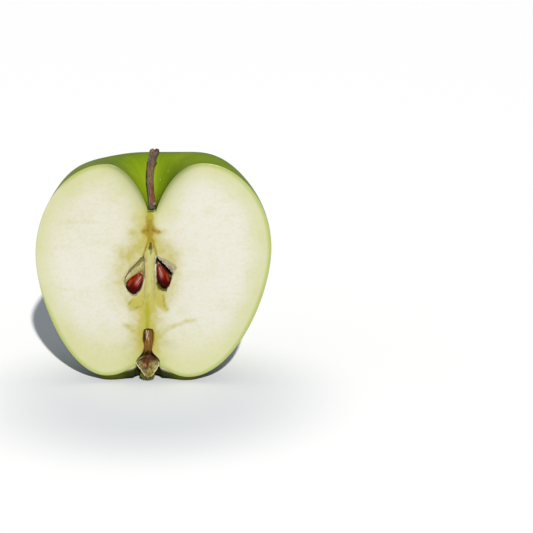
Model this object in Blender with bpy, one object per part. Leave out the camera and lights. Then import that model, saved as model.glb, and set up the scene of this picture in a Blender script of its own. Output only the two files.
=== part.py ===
"""Half of a green apple, cut from stalk to calyx, standing on its base.

The flesh is one solid: a skin surface swept round the core axis, closed by the flat cut, with the seed
chambers, the calyx tube and the stalk's socket cut out of it. The stalk, the two seeds and the dried
calyx are solids of their own. Metres, +Z up. The origin is on the ground, under the middle of the box
that holds the whole. The cut faces -Y.
"""

import math

import bmesh
import bpy
from mathutils import Vector

# Place of the fruit in the frame
CORE_X = -0.00186
CUT_Y = -0.0195
LEAN_FOOT_X = -0.00075
LEAN_TOP_X = 0.0016
LEAN_FOOT_Z = 0.0055
LEAN_TOP_Z = 0.0595

# Clearance between pieces that touch
GAP = 0.0003

# Edges that turn by more than this stay sharp
SHARP_TURN = math.radians(38)

# Outline of the skin on each side: distances from the core axis and heights of its four turning points
RIGHT = {
    "rim": (0.0039, 0.0058),
    "foot": (0.01395, 0.0018),
    "cheek": (0.0401, 0.0455),
    "shoulder": (0.0163, 0.0757),
    "foot_in": 0.0047,
    "foot_out": 0.0152,
    "cheek_down": 0.0165,
    "cheek_up": 0.0167,
    "shoulder_out": 0.0120,
    "shoulder_in": 0.0092,
    "corner_out": 0.0014,
    "corner_rise": -0.0010,
    "corner_up": 0.0016,
}
LEFT = {
    "rim": (0.0041, 0.0059),
    "foot": (0.0138, 0.0023),
    "cheek": (0.03835, 0.0452),
    "shoulder": (0.0155, 0.0754),
    "foot_in": 0.0052,
    "foot_out": 0.0128,
    "cheek_down": 0.0154,
    "cheek_up": 0.0172,
    "shoulder_out": 0.0123,
    "shoulder_in": 0.0072,
    "corner_out": 0.0070,
    "corner_rise": 0.0105,
    "corner_up": -0.0014,
}
BACK = {
    "rim": (0.0040, 0.0060),
    "foot": (0.0190, 0.0018),
    "cheek": (0.0394, 0.0455),
    "shoulder": (0.0172, 0.0757),
    "foot_in": 0.0085,
    "foot_out": 0.0115,
    "cheek_down": 0.0175,
    "cheek_up": 0.0165,
    "shoulder_out": 0.0120,
    "shoulder_in": 0.0085,
    "corner_out": 0.0026,
    "corner_rise": 0.0010,
    "corner_up": 0.0003,
}
RIM_REACH = 0.0028
RIM_SLOPE = math.radians(24)
BASIN_ROOF_Z = 0.0070
THROAT_R = 0.0011
THROAT_Z = 0.0592
THROAT_REACH = 0.0052
THROAT_SLOPE = math.radians(15)

# Lobes round the base, five in the whole fruit, and three of them on this half
LOBE_COUNT = 5
LOBE_TURN = math.radians(18)
LOBE_DEPTH = 0.0028
LOBE_SPREAD = 0.0085

# Faces along and round the skin
SKIN_COLUMNS = 42
STRETCH_ROWS = (7, 15, 14, 12)

# Seed chambers: tip, bottom, bulge away from and towards the core, depth behind the cut
CHAMBERS = {
    "left": {
        "tip": (-0.0014, 0.0445),
        "bottom": (-0.0057, 0.0295),
        "outer": 0.0044,
        "inner": 0.0031,
        "outward": -1,
    },
    "right": {
        "tip": (0.0027, 0.0440),
        "bottom": (0.0059, 0.0318),
        "outer": 0.0033,
        "inner": 0.0026,
        "outward": 1,
    },
}
CHAMBER_DEPTH = 0.0032
CHAMBER_FULLNESS = 0.72
CHAMBER_LOW = 1.25
CHAMBER_RINGS = 12
CHAMBER_SIDES = 20

# Seeds: pointed tip, round end, width, thickness, distance of the middle behind the cut
SEEDS = {
    "left": {"tip": (-0.0021, 0.0383), "end": (-0.0062, 0.0316), "width": 0.0046},
    "right": {"tip": (0.0034, 0.0418), "end": (0.0058, 0.0332), "width": 0.0041},
}
SEED_THICKNESS = 0.0024
SEED_BEHIND_CUT = 0.0007
SEED_TIP_POWER = 0.75
SEED_END_POWER = 3.2
SEED_SWELL = 1.58
SEED_RINGS = 12
SEED_SIDES = 14

# Calyx tube and the wider mouth below it: radius at each height, round the foot of the core axis
TUBE_STATIONS = (
    (0.0187, 0.0007),
    (0.0180, 0.0015),
    (0.0156, 0.0019),
    (0.0122, 0.0016),
    (0.0110, 0.0018),
    (0.0080, 0.0040),
    (0.0045, 0.0042),
)
TUBE_X = -0.0007
TUBE_SIDES = 24

# Dried calyx: a cone of old stamens with sepals folded over it
CALYX_STATIONS = (
    (0.0094, 0.0012),
    (0.0087, 0.0022),
    (0.0074, 0.0029),
    (0.0050, 0.0024),
    (0.0030, 0.0012),
)
CALYX_SIDES = 10
CALYX_TIP_Z = 0.0014
CALYX_BEFORE_CUT = 0.0004
SEPAL_COUNT = 3
SEPAL_FIRST = math.radians(28)
SEPAL_STEP = math.radians(62)
SEPAL_ROOT_R = 0.0029
SEPAL_BULGE_R = 0.0039
SEPAL_FOLD_R = 0.0030
SEPAL_TIP_R = 0.0010
SEPAL_ROOT_Z = 0.0078
SEPAL_WIDTH = 0.0040
SEPAL_END_WIDTH = 0.0005
SEPAL_TAPER = 1.6
SEPAL_THICKNESS = 0.0006
SEPAL_CUPPING = 0.18
SEPAL_WAVE = 0.0002
SEPAL_WAVES_ACROSS = 0.75
SEPAL_WAVES_ALONG = 0.8
SEPAL_ROWS = 8
SEPAL_COLUMNS = 4

# Stalk: centre line from its foot to its tip, thick at both ends
STALK_FOOT = (0.0018, 0.0009, 0.0602)
STALK_BEND = (0.0013, 0.0010, 0.0670)
STALK_REACH = (0.0006, 0.0012, 0.0735)
STALK_TIP = (0.0027, 0.0013, 0.0793)
STALK_R = 0.00110
STALK_NODE_R = 0.00020
STALK_NODE_AT = 0.08
STALK_NODE_SPREAD = 0.06
STALK_FLARE_R = 0.00050
STALK_FLARE_AT = 0.72
STALK_RINGS = 22
STALK_SIDES = 14
KNOBS = {
    "left": {"x": -0.0010, "lift": 0.0000, "radius": 0.00085},
    "right": {"x": 0.0010, "lift": 0.0001, "radius": 0.00105},
}
KNOB_SUBDIVISIONS = 2
SOCKET_R = STALK_R + STALK_NODE_R + 2 * GAP
SOCKET_FLOOR_Z = STALK_FOOT[2] - GAP
SOCKET_TOP_Z = 0.0645


def clear_scene():
    """Removes what the file holds, so that the model stands alone."""
    for item in list(bpy.data.objects):
        bpy.data.objects.remove(item, do_unlink=True)


def material(name, colour, roughness):
    """A plain finish with one colour."""
    made = bpy.data.materials.new(name)
    made.use_nodes = True
    shader = made.node_tree.nodes["Principled BSDF"]
    shader.inputs["Base Color"].default_value = (*colour, 1.0)
    shader.inputs["Roughness"].default_value = roughness
    shader.inputs["Metallic"].default_value = 0.0
    return made


def core_x(height):
    """Where the leaning core axis stands at a height."""
    share = (height - LEAN_FOOT_Z) / (LEAN_TOP_Z - LEAN_FOOT_Z)
    return LEAN_FOOT_X + share * (LEAN_TOP_X - LEAN_FOOT_X)


def in_frame(x, behind_cut, z):
    """Turns a place counted from the core and the cut into a place in the frame."""
    return Vector((CORE_X + x, CUT_Y + behind_cut, z))


def bezier(start, leave, arrive, end, share):
    """A point of a cubic curve."""
    rest = 1.0 - share
    return tuple(
        rest**3 * a + 3 * rest**2 * share * b + 3 * rest * share**2 * c + share**3 * d
        for a, b, c, d in zip(start, leave, arrive, end)
    )


def mix_sides(one, other, share):
    """An outline between two sides' outlines."""
    mixed = {}
    for key, value in one.items():
        goal = other[key]
        if isinstance(value, tuple):
            mixed[key] = tuple(a + share * (b - a) for a, b in zip(value, goal))
        else:
            mixed[key] = value + share * (goal - value)
    return mixed


def outline(side, corner):
    """Radius and height down to up, along four curves: basin, flank, cheek and stalk hollow.

    Corner is 1 halfway between the cut and the back, where the shoulders are fullest, and 0 at both.
    """
    rim_r, rim_z = side["rim"]
    foot_r, foot_z = side["foot"]
    cheek_r, cheek_z = side["cheek"]
    top_r, top_z = side["shoulder"]
    top_r += corner * side["corner_up"]
    top_z += corner * side["corner_up"]
    rise = side["cheek_up"] + corner * side["corner_rise"]
    out = side["shoulder_out"] + corner * side["corner_out"]
    stretches = (
        (
            (rim_r, rim_z),
            (rim_r + RIM_REACH * math.cos(RIM_SLOPE), rim_z - RIM_REACH * math.sin(RIM_SLOPE)),
            (foot_r - side["foot_in"], foot_z),
            (foot_r, foot_z),
        ),
        (
            (foot_r, foot_z),
            (foot_r + side["foot_out"], foot_z),
            (cheek_r, cheek_z - side["cheek_down"]),
            (cheek_r, cheek_z),
        ),
        (
            (cheek_r, cheek_z),
            (cheek_r, cheek_z + rise),
            (top_r + out, top_z),
            (top_r, top_z),
        ),
        (
            (top_r, top_z),
            (top_r - side["shoulder_in"], top_z),
            (
                THROAT_R + THROAT_REACH * math.sin(THROAT_SLOPE),
                THROAT_Z + THROAT_REACH * math.cos(THROAT_SLOPE),
            ),
            (THROAT_R, THROAT_Z),
        ),
    )
    points = []
    for count, curve in zip(STRETCH_ROWS, stretches):
        for step in range(count):
            points.append(bezier(*curve, step / count))
    points.append((THROAT_R, THROAT_Z))
    return points


def lobed(radius, height, turn, foot_r):
    """Lets the base down into lobes and stands the lowest spots flat on the ground."""
    wave = math.cos(LOBE_COUNT * (turn - LOBE_TURN))
    reach = math.exp(-(((radius - foot_r) / LOBE_SPREAD) ** 2))
    low = max(0.0, 1.0 - height / BACK["cheek"][1])
    return max(0.0, height - LOBE_DEPTH * wave * reach * low**2)


def skin_solid(name, finish):
    """The half fruit before anything is cut out: a swept skin, closed by the cut."""
    shape = bmesh.new()
    foot = shape.verts.new(in_frame(core_x(BASIN_ROOF_Z), 0.0, BASIN_ROOF_Z))
    roof = shape.verts.new(in_frame(core_x(THROAT_Z), 0.0, THROAT_Z - THROAT_R))
    columns = []
    for column in range(SKIN_COLUMNS + 1):
        turn = math.pi * column / SKIN_COLUMNS
        share = math.sin(turn) ** 2
        corner = math.sin(2 * turn) ** 2
        side = mix_sides(RIGHT if column * 2 <= SKIN_COLUMNS else LEFT, BACK, share)
        on_cut = column in (0, SKIN_COLUMNS)
        ring = []
        for radius, height in outline(side, corner):
            low = lobed(radius, height, turn, side["foot"][0])
            behind = 0.0 if on_cut else radius * math.sin(turn)
            ring.append(
                shape.verts.new(in_frame(core_x(height) + radius * math.cos(turn), behind, low))
            )
        columns.append(ring)
    for near, far in zip(columns, columns[1:]):
        shape.faces.new((foot, far[0], near[0]))
        shape.faces.new((roof, near[-1], far[-1]))
        for row in range(len(near) - 1):
            shape.faces.new((near[row], far[row], far[row + 1], near[row + 1]))
    shape.faces.new([foot, *columns[0], roof, *reversed(columns[-1])])
    bmesh.ops.recalc_face_normals(shape, faces=shape.faces)
    return finished(name, shape, finish)


def finished(name, shape, finish):
    """Puts a worked shape into the scene as an object, shaded smooth but for its sharp edges."""
    mesh = bpy.data.meshes.new(name)
    shape.to_mesh(mesh)
    shape.free()
    mesh.shade_smooth()
    mesh.set_sharp_from_angle(angle=SHARP_TURN)
    made = bpy.data.objects.new(name, mesh)
    bpy.context.scene.collection.objects.link(made)
    if finish:
        mesh.materials.append(finish)
    return made


def loft(shape, rings):
    """Joins rings of points into a closed surface, with a fan over each end."""
    made = [[shape.verts.new(point) for point in ring] for ring in rings]
    for near, far in zip(made, made[1:]):
        for here in range(len(near)):
            after = (here + 1) % len(near)
            shape.faces.new((near[here], near[after], far[after], far[here]))
    shape.faces.new(made[0])
    shape.faces.new(made[-1])
    bmesh.ops.triangulate(shape, faces=[face for face in shape.faces if len(face.verts) > 4])
    bmesh.ops.recalc_face_normals(shape, faces=shape.faces)


def circle(centre, radius, sides, squash=1.0):
    """Points of a level ring. Squash narrows it from front to back."""
    turns = [2 * math.pi * step / sides for step in range(sides)]
    return [centre + Vector((radius * math.cos(t), radius * squash * math.sin(t), 0)) for t in turns]


def cutter(name, shape):
    """A closed shape that is only there to be cut away."""
    made = finished(name, shape, None)
    made.hide_render = True
    made.display_type = "WIRE"
    return made


def cut_out(body, tool):
    """Cuts a tool's shape out of a body."""
    cut = body.modifiers.new(tool.name, "BOOLEAN")
    cut.operation = "DIFFERENCE"
    cut.solver = "EXACT"
    cut.object = tool


def chamber_tool(name, chamber):
    """A leaf-shaped pocket: flat ellipses along a slanting line, wider on the side away from the core."""
    tip = Vector((chamber["tip"][0], 0, chamber["tip"][1]))
    bottom = Vector((chamber["bottom"][0], 0, chamber["bottom"][1]))
    along = (bottom - tip).normalized()
    outward = Vector((-along.z, 0, along.x))
    if outward.x * chamber["outward"] < 0:
        outward.negate()
    rings = []
    for step in range(1, CHAMBER_RINGS):
        share = step / CHAMBER_RINGS
        swell = math.sin(math.pi * share**CHAMBER_LOW) ** CHAMBER_FULLNESS
        centre = tip.lerp(bottom, share)
        ring = []
        for side in range(CHAMBER_SIDES):
            turn = 2 * math.pi * side / CHAMBER_SIDES
            reach = chamber["outer"] if math.cos(turn) > 0 else chamber["inner"]
            offset = outward * (reach * swell * math.cos(turn))
            depth = CHAMBER_DEPTH * swell * math.sin(turn)
            place = centre + offset
            ring.append(in_frame(place.x, depth, place.z))
        rings.append(ring)
    shape = bmesh.new()
    loft(shape, rings)
    return cutter(name, shape)


def tube_tool():
    """The calyx tube with its mouth, as rings round the foot of the core axis."""
    shape = bmesh.new()
    rings = [circle(in_frame(TUBE_X, 0, z), r, TUBE_SIDES) for z, r in TUBE_STATIONS]
    loft(shape, rings)
    return cutter("tube_cutter", shape)


def socket_tool():
    """The round hole that holds the foot of the stalk."""
    shape = bmesh.new()
    x, behind, _ = STALK_FOOT
    rings = [
        circle(in_frame(x, behind, z), SOCKET_R, TUBE_SIDES) for z in (SOCKET_FLOOR_Z, SOCKET_TOP_Z)
    ]
    loft(shape, rings)
    return cutter("socket_cutter", shape)


def seed(name, size, finish):
    """A drop shape: ellipses along a line from the pointed tip to the round end."""
    tip = Vector((size["tip"][0], 0, size["tip"][1]))
    end = Vector((size["end"][0], 0, size["end"][1]))
    along = (end - tip).normalized()
    across = Vector((-along.z, 0, along.x))
    rings = []
    for step in range(1, SEED_RINGS + 1):
        share = 0.5 - 0.5 * math.cos(math.pi * (step - 0.5) / (SEED_RINGS + 0.5))  # closer at both ends
        swell = SEED_SWELL * share**SEED_TIP_POWER * math.sqrt(1 - share**SEED_END_POWER)
        centre = tip.lerp(end, share)
        ring = []
        for side in range(SEED_SIDES):
            turn = 2 * math.pi * side / SEED_SIDES
            place = centre + across * (size["width"] / 2 * swell * math.cos(turn))
            depth = SEED_BEHIND_CUT + SEED_THICKNESS / 2 * swell * math.sin(turn)
            ring.append(in_frame(place.x, depth, place.z))
        rings.append(ring)
    shape = bmesh.new()
    loft(shape, rings)
    return finished(name, shape, finish)


def stalk(finish):
    """A round stick along a bent line, swollen at its foot and flared under two knobs at its tip."""
    rings = []
    for step in range(STALK_RINGS + 1):
        share = step / STALK_RINGS
        x, behind, z = bezier(STALK_FOOT, STALK_BEND, STALK_REACH, STALK_TIP, share)
        node = STALK_NODE_R * math.exp(-(((share - STALK_NODE_AT) / STALK_NODE_SPREAD) ** 2))
        flare = max(0.0, (share - STALK_FLARE_AT) / (1 - STALK_FLARE_AT))
        radius = STALK_R + node + STALK_FLARE_R * flare * flare
        rings.append(circle(in_frame(x, behind, z), radius, STALK_SIDES))
    shape = bmesh.new()
    loft(shape, rings)
    stick = finished("stem", shape, finish)
    knobs = []
    for side, knob in KNOBS.items():
        x, behind, z = STALK_TIP
        shape = bmesh.new()
        bmesh.ops.create_icosphere(shape, subdivisions=KNOB_SUBDIVISIONS, radius=knob["radius"])
        centre = in_frame(x + knob["x"], behind, z + knob["lift"])
        bmesh.ops.translate(shape, verts=shape.verts, vec=centre)
        knobs.append(finished(f"knob_{side}", shape, None))
    return united(stick, knobs)


def united(base, others):
    """Fuses pieces into one solid and removes what they came from."""
    group = bpy.data.collections.new(f"{base.name}_pieces")
    for piece in others:
        group.objects.link(piece)
    join = base.modifiers.new("union", "BOOLEAN")
    join.operation = "UNION"
    join.solver = "EXACT"
    join.operand_type = "COLLECTION"
    join.collection = group
    bpy.context.view_layer.update()
    evaluated = base.evaluated_get(bpy.context.evaluated_depsgraph_get())
    fused = bpy.data.meshes.new_from_object(evaluated)
    base.modifiers.clear()
    base.data = fused
    for piece in others:
        bpy.data.objects.remove(piece, do_unlink=True)
    bpy.data.collections.remove(group)
    return base


def sepal(name, turn):
    """A thin wavy leaf that leaves the mouth, swells outwards and folds in to its tip."""
    out = Vector((math.cos(turn), math.sin(turn), 0))
    side = Vector((-math.sin(turn), math.cos(turn), 0))
    rows = []
    for row in range(SEPAL_ROWS + 1):
        share = row / SEPAL_ROWS
        height = SEPAL_ROOT_Z + (CALYX_TIP_Z - SEPAL_ROOT_Z) * share
        (reach,) = bezier((SEPAL_ROOT_R,), (SEPAL_BULGE_R,), (SEPAL_FOLD_R,), (SEPAL_TIP_R,), share)
        half = SEPAL_WIDTH / 2 * (1 - share**SEPAL_TAPER) + SEPAL_END_WIDTH
        line = []
        for column in range(SEPAL_COLUMNS + 1):
            across = 2 * column / SEPAL_COLUMNS - 1
            waves = SEPAL_WAVES_ACROSS * across + SEPAL_WAVES_ALONG * share
            wave = SEPAL_WAVE * math.sin(2 * math.pi * waves + turn)
            curl = reach * (1 - SEPAL_CUPPING * across * across) + wave
            line.append((out * curl + side * (across * half), out, height))
        rows.append(line)
    shape = bmesh.new()
    layers = []
    for lift in (0.0, -SEPAL_THICKNESS):
        layer = []
        for line in rows:
            places = [calyx_place(place + normal * lift, height) for place, normal, height in line]
            layer.append([shape.verts.new(place) for place in places])
        layers.append(layer)
    outer, inner = layers
    for row in range(SEPAL_ROWS):
        for column in range(SEPAL_COLUMNS):
            for layer in layers:
                corners = (
                    layer[row][column],
                    layer[row][column + 1],
                    layer[row + 1][column + 1],
                    layer[row + 1][column],
                )
                shape.faces.new(corners[:3])
                shape.faces.new((corners[0], corners[2], corners[3]))
    rim_outer = edge_loop(outer)
    rim_inner = edge_loop(inner)
    for here in range(len(rim_outer)):
        after = (here + 1) % len(rim_outer)
        shape.faces.new((rim_outer[here], rim_outer[after], rim_inner[after], rim_inner[here]))
    bmesh.ops.recalc_face_normals(shape, faces=shape.faces)
    return finished(name, shape, None)


def edge_loop(layer):
    """The border of a grid of points, in order."""
    down = [line[-1] for line in layer[1:-1]]
    up = [line[0] for line in reversed(layer[1:-1])]
    return [*layer[0], *down, *reversed(layer[-1]), *up]


def calyx_place(place, height):
    """A place counted from the tube's axis, held behind the cut."""
    return in_frame(TUBE_X + place.x, max(-CALYX_BEFORE_CUT, place.y), height)


def calyx(finish):
    """The dried calyx: a half cone of stamens and its sepals, fused into one solid."""
    shape = bmesh.new()
    rings = []
    for height, radius in CALYX_STATIONS:
        ring = []
        for step in range(CALYX_SIDES + 1):
            turn = math.pi * step / CALYX_SIDES
            behind = -CALYX_BEFORE_CUT if step in (0, CALYX_SIDES) else radius * math.sin(turn)
            ring.append(in_frame(TUBE_X + radius * math.cos(turn), behind, height))
        rings.append(ring)
    loft(shape, rings)
    core = finished("calyx", shape, finish)
    sepals = [
        sepal(f"sepal_{number}", SEPAL_FIRST + number * SEPAL_STEP) for number in range(SEPAL_COUNT)
    ]
    return united(core, sepals)


def main():
    clear_scene()
    flesh_finish = material("flesh", (0.78, 0.80, 0.50), 0.45)
    stalk_finish = material("stalk_bark", (0.16, 0.09, 0.05), 0.8)
    seed_finish = material("seed_coat", (0.16, 0.02, 0.01), 0.3)
    calyx_finish = material("dry_calyx", (0.27, 0.22, 0.09), 0.85)
    body = skin_solid("apple_flesh", flesh_finish)
    cut_out(body, tube_tool())
    cut_out(body, socket_tool())
    for side, chamber in CHAMBERS.items():
        cut_out(body, chamber_tool(f"chamber_cutter_{side}", chamber))
    for side, size in SEEDS.items():
        seed(f"seed_{side}", size, seed_finish)
    stalk(stalk_finish)
    calyx(calyx_finish)


main()
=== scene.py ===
"""Half of a green apple on a pale floor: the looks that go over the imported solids.

Shapes are worked out in millimetres, counted from the core and the cut: x to the right of the core,
"behind" from the cut into the fruit, z up from the ground. They are turned into metres in the frame last.
"""

import math

import bmesh
import bpy
import numpy as np
from bpy.props import FloatProperty, FloatVectorProperty, PointerProperty
from mathutils import Euler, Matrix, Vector


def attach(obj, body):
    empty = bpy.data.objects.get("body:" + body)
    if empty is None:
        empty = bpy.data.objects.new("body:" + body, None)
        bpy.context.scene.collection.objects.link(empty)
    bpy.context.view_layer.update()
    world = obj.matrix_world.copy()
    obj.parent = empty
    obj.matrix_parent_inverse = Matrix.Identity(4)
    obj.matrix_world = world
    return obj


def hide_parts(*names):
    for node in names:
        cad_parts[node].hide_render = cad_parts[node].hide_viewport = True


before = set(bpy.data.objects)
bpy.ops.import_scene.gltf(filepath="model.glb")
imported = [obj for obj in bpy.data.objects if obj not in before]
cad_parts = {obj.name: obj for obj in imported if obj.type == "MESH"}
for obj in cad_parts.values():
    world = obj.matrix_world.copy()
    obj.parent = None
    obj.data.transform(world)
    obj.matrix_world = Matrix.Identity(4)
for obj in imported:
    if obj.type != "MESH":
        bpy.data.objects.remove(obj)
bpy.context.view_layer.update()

bl_info = {
    "name": "Cut fruit half",
    "version": (1, 0, 0),
    "blender": (4, 5, 0),
    "location": "View3D > Sidebar > Fruit",
    "description": "Builds a green fruit half with its stalk, seeds and calyx",
    "category": "Add Mesh",
}

# Place of the core and the cut in the frame, and the lean of the core, in millimetres
CORE_X = -1.86
CUT_Y = -19.5
LEAN_FOOT = (-0.75, 5.5)
LEAN_TOP = (1.6, 59.5)

# Outline of the skin on each side: radii and heights of its turning points and the reach of its curves
RIGHT = {
    "rim_r": 3.9, "rim_z": 5.8, "foot_r": 13.95, "foot_z": 1.8, "cheek_r": 40.1, "cheek_z": 45.5,
    "top_r": 16.3, "top_z": 75.7, "foot_in": 4.7, "foot_out": 15.2, "cheek_down": 16.5, "cheek_up": 16.7,
    "shoulder_out": 12.0, "shoulder_in": 9.2, "corner_out": 1.4, "corner_rise": -1.0, "corner_up": 1.6,
}
LEFT = {
    "rim_r": 4.1, "rim_z": 5.9, "foot_r": 13.8, "foot_z": 2.3, "cheek_r": 38.35, "cheek_z": 45.2,
    "top_r": 15.5, "top_z": 75.4, "foot_in": 5.2, "foot_out": 12.8, "cheek_down": 15.4, "cheek_up": 17.2,
    "shoulder_out": 12.3, "shoulder_in": 7.2, "corner_out": 7.0, "corner_rise": 10.5, "corner_up": -1.4,
}
BACK = {
    "rim_r": 4.0, "rim_z": 6.0, "foot_r": 19.0, "foot_z": 1.8, "cheek_r": 39.4, "cheek_z": 45.5,
    "top_r": 17.2, "top_z": 75.7, "foot_in": 8.5, "foot_out": 11.5, "cheek_down": 17.5, "cheek_up": 16.5,
    "shoulder_out": 12.0, "shoulder_in": 8.5, "corner_out": 2.6, "corner_rise": 1.0, "corner_up": 0.3,
}

# Ends of the outline at the calyx and in the throat of the stalk hollow, then the lobes round the foot
RIM_REACH = 2.8
RIM_SLOPE = math.radians(24)
THROAT_R = 1.45
THROAT_Z = 59.7
THROAT_REACH = 4.9
THROAT_SLOPE = math.radians(13)
THROAT_DEEPER = 0.62
THROAT_FADE = 7.0
LOBE_COUNT = 5
LOBE_TURN = math.radians(18)
LOBE_DEPTH = 2.8
LOBE_SPREAD = 8.5

# Filling of the basin behind the cut. Its ground lies at FILL_Z beside the calyx and falls to 0 over the
# radii FILL_GROUND. The filling grows over the sines FILL_TURN of the turn and the radii FILL_INNER, fades
# over FILL_REACH past the foot, and ends towards the back over FILL_BACK_TURN and FILL_BACK_R.
FILL_Z = 1.9
FILL_REACH = 4.5
FILL_TURN = (0.05, 0.32)
FILL_INNER = (4.0, 5.2)
FILL_GROUND = (3.0, 12.0)
FILL_BACK_TURN = (0.70, 0.92)
FILL_BACK_R = (8.0, 12.0)

# Rounding of the cut edge: least radius, and the radii of the skin over which it grows at the foot and on top
ROUND_LEAST = 0.015
ROUND_FOOT = (3.6, 7.5)
ROUND_TOP = (THROAT_R - 0.2, 6.0)

# Mesh of the skin and the cut
STRETCH_ROWS = (24, 66, 70, 70)
EDGE_STEPS = 5
TURN_STEP = math.radians(3)
CENTRE_Z = (16.0, 50.0)
CUT_STEPS = 90
CUT_EVEN = 0.47
THROAT_STEPS = 4
CREASE_ANGLE = math.radians(34)

# Snapping of points to the edges of the tube and the chambers: how far a point may move, the step that slopes
# are measured over, and how far from the core it is done
SNAP_REACH = 0.105
SLOPE_STEP = 0.02
SNAP_X = 10.0

# Heights between which the tube and the chambers lie, and how far from the core a chamber's relief reaches
TUBE_Z = (0.0, 20.0)
CHAMBER_Z = (28.0, 47.0)
CHAMBER_X = 11.0

# Calyx tube and mouth: height, middle, half width
TUBE_STATIONS = (
    (5.0, -0.74, 4.05),
    (6.4, -0.70, 4.02),
    (7.7, -0.60, 3.95),
    (8.3, -0.58, 3.62),
    (9.6, -0.62, 2.45),
    (10.6, -0.66, 1.72),
    (11.6, -0.62, 1.50),
    (12.8, -0.42, 1.42),
    (13.8, -0.42, 1.62),
    (15.0, -0.45, 1.86),
    (16.6, -0.34, 1.80),
    (18.2, -0.24, 1.62),
    (18.7, -0.24, 1.30),
    (18.95, -0.24, 0.40),
    (19.1, -0.24, -0.60),
)

# Outlines of the open seed chambers on the cut
CHAMBERS = {
    "left": (
        (-1.46, 44.21), (-3.32, 42.49), (-5.02, 40.76), (-6.73, 38.69), (-7.94, 36.27), (-8.14, 34.54),
        (-6.95, 32.00), (-5.30, 30.25), (-3.52, 31.10), (-2.15, 33.20), (-1.44, 35.92), (-1.04, 39.38),
        (-1.10, 42.14),
    ),
    "right": (
        (2.86, 43.69), (4.33, 42.32), (5.98, 40.76), (7.62, 38.69), (7.70, 36.96), (7.33, 34.88),
        (6.65, 33.30), (5.53, 32.15), (4.19, 32.60), (3.10, 34.40), (2.68, 36.96), (2.60, 40.07),
    ),
}

# Crest between the two halves of the left chamber's floor, a point at its middle, and the way up square to it
CREST = ((-1.34, 41.9), (-3.03, 40.3), (-4.72, 39.1), (-6.08, 37.65), (-7.4, 36.2))
CREST_POINT = (-5.4, 38.2)
CREST_UP = (-0.69, 0.72)

# Depths behind the cut: the left chamber's ledge, how much nearer its crest lies and how much the floor falls
# below it, the torn lining, and the hollow on top of the core. Then the width of each chamber's round edge.
LEDGE_DEPTH = 1.75
CREST_RISE = 0.65
CREST_FALL = 1.5
FLAP_DEPTH = 0.34
HOLLOW_DEPTH = 0.7
CHAMBER_EDGE = {"left": 0.85, "right": 0.45}

# Lines of the hollow on top of the core and of the painted highlight (pale shine) in the tube, and the waves
# of ragged outlines
HOLLOW_LINE = ((0.93, 48.3), (0.92, 46.6))
SHINE_LINE = ((-0.85, 17.6), (-0.72, 16.0), (-0.60, 14.7))
RAGGED_SHIFT = 0.10
RAGGED_SIZE = 0.9

# Torn lining beside the right chamber
FLAP = (
    (3.10, 44.00), (4.70, 43.55), (6.70, 42.60), (8.60, 41.25), (9.55, 40.20), (9.05, 39.25), (7.95, 38.95),
    (6.65, 39.95), (5.00, 41.35), (3.70, 42.90),
)

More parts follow.
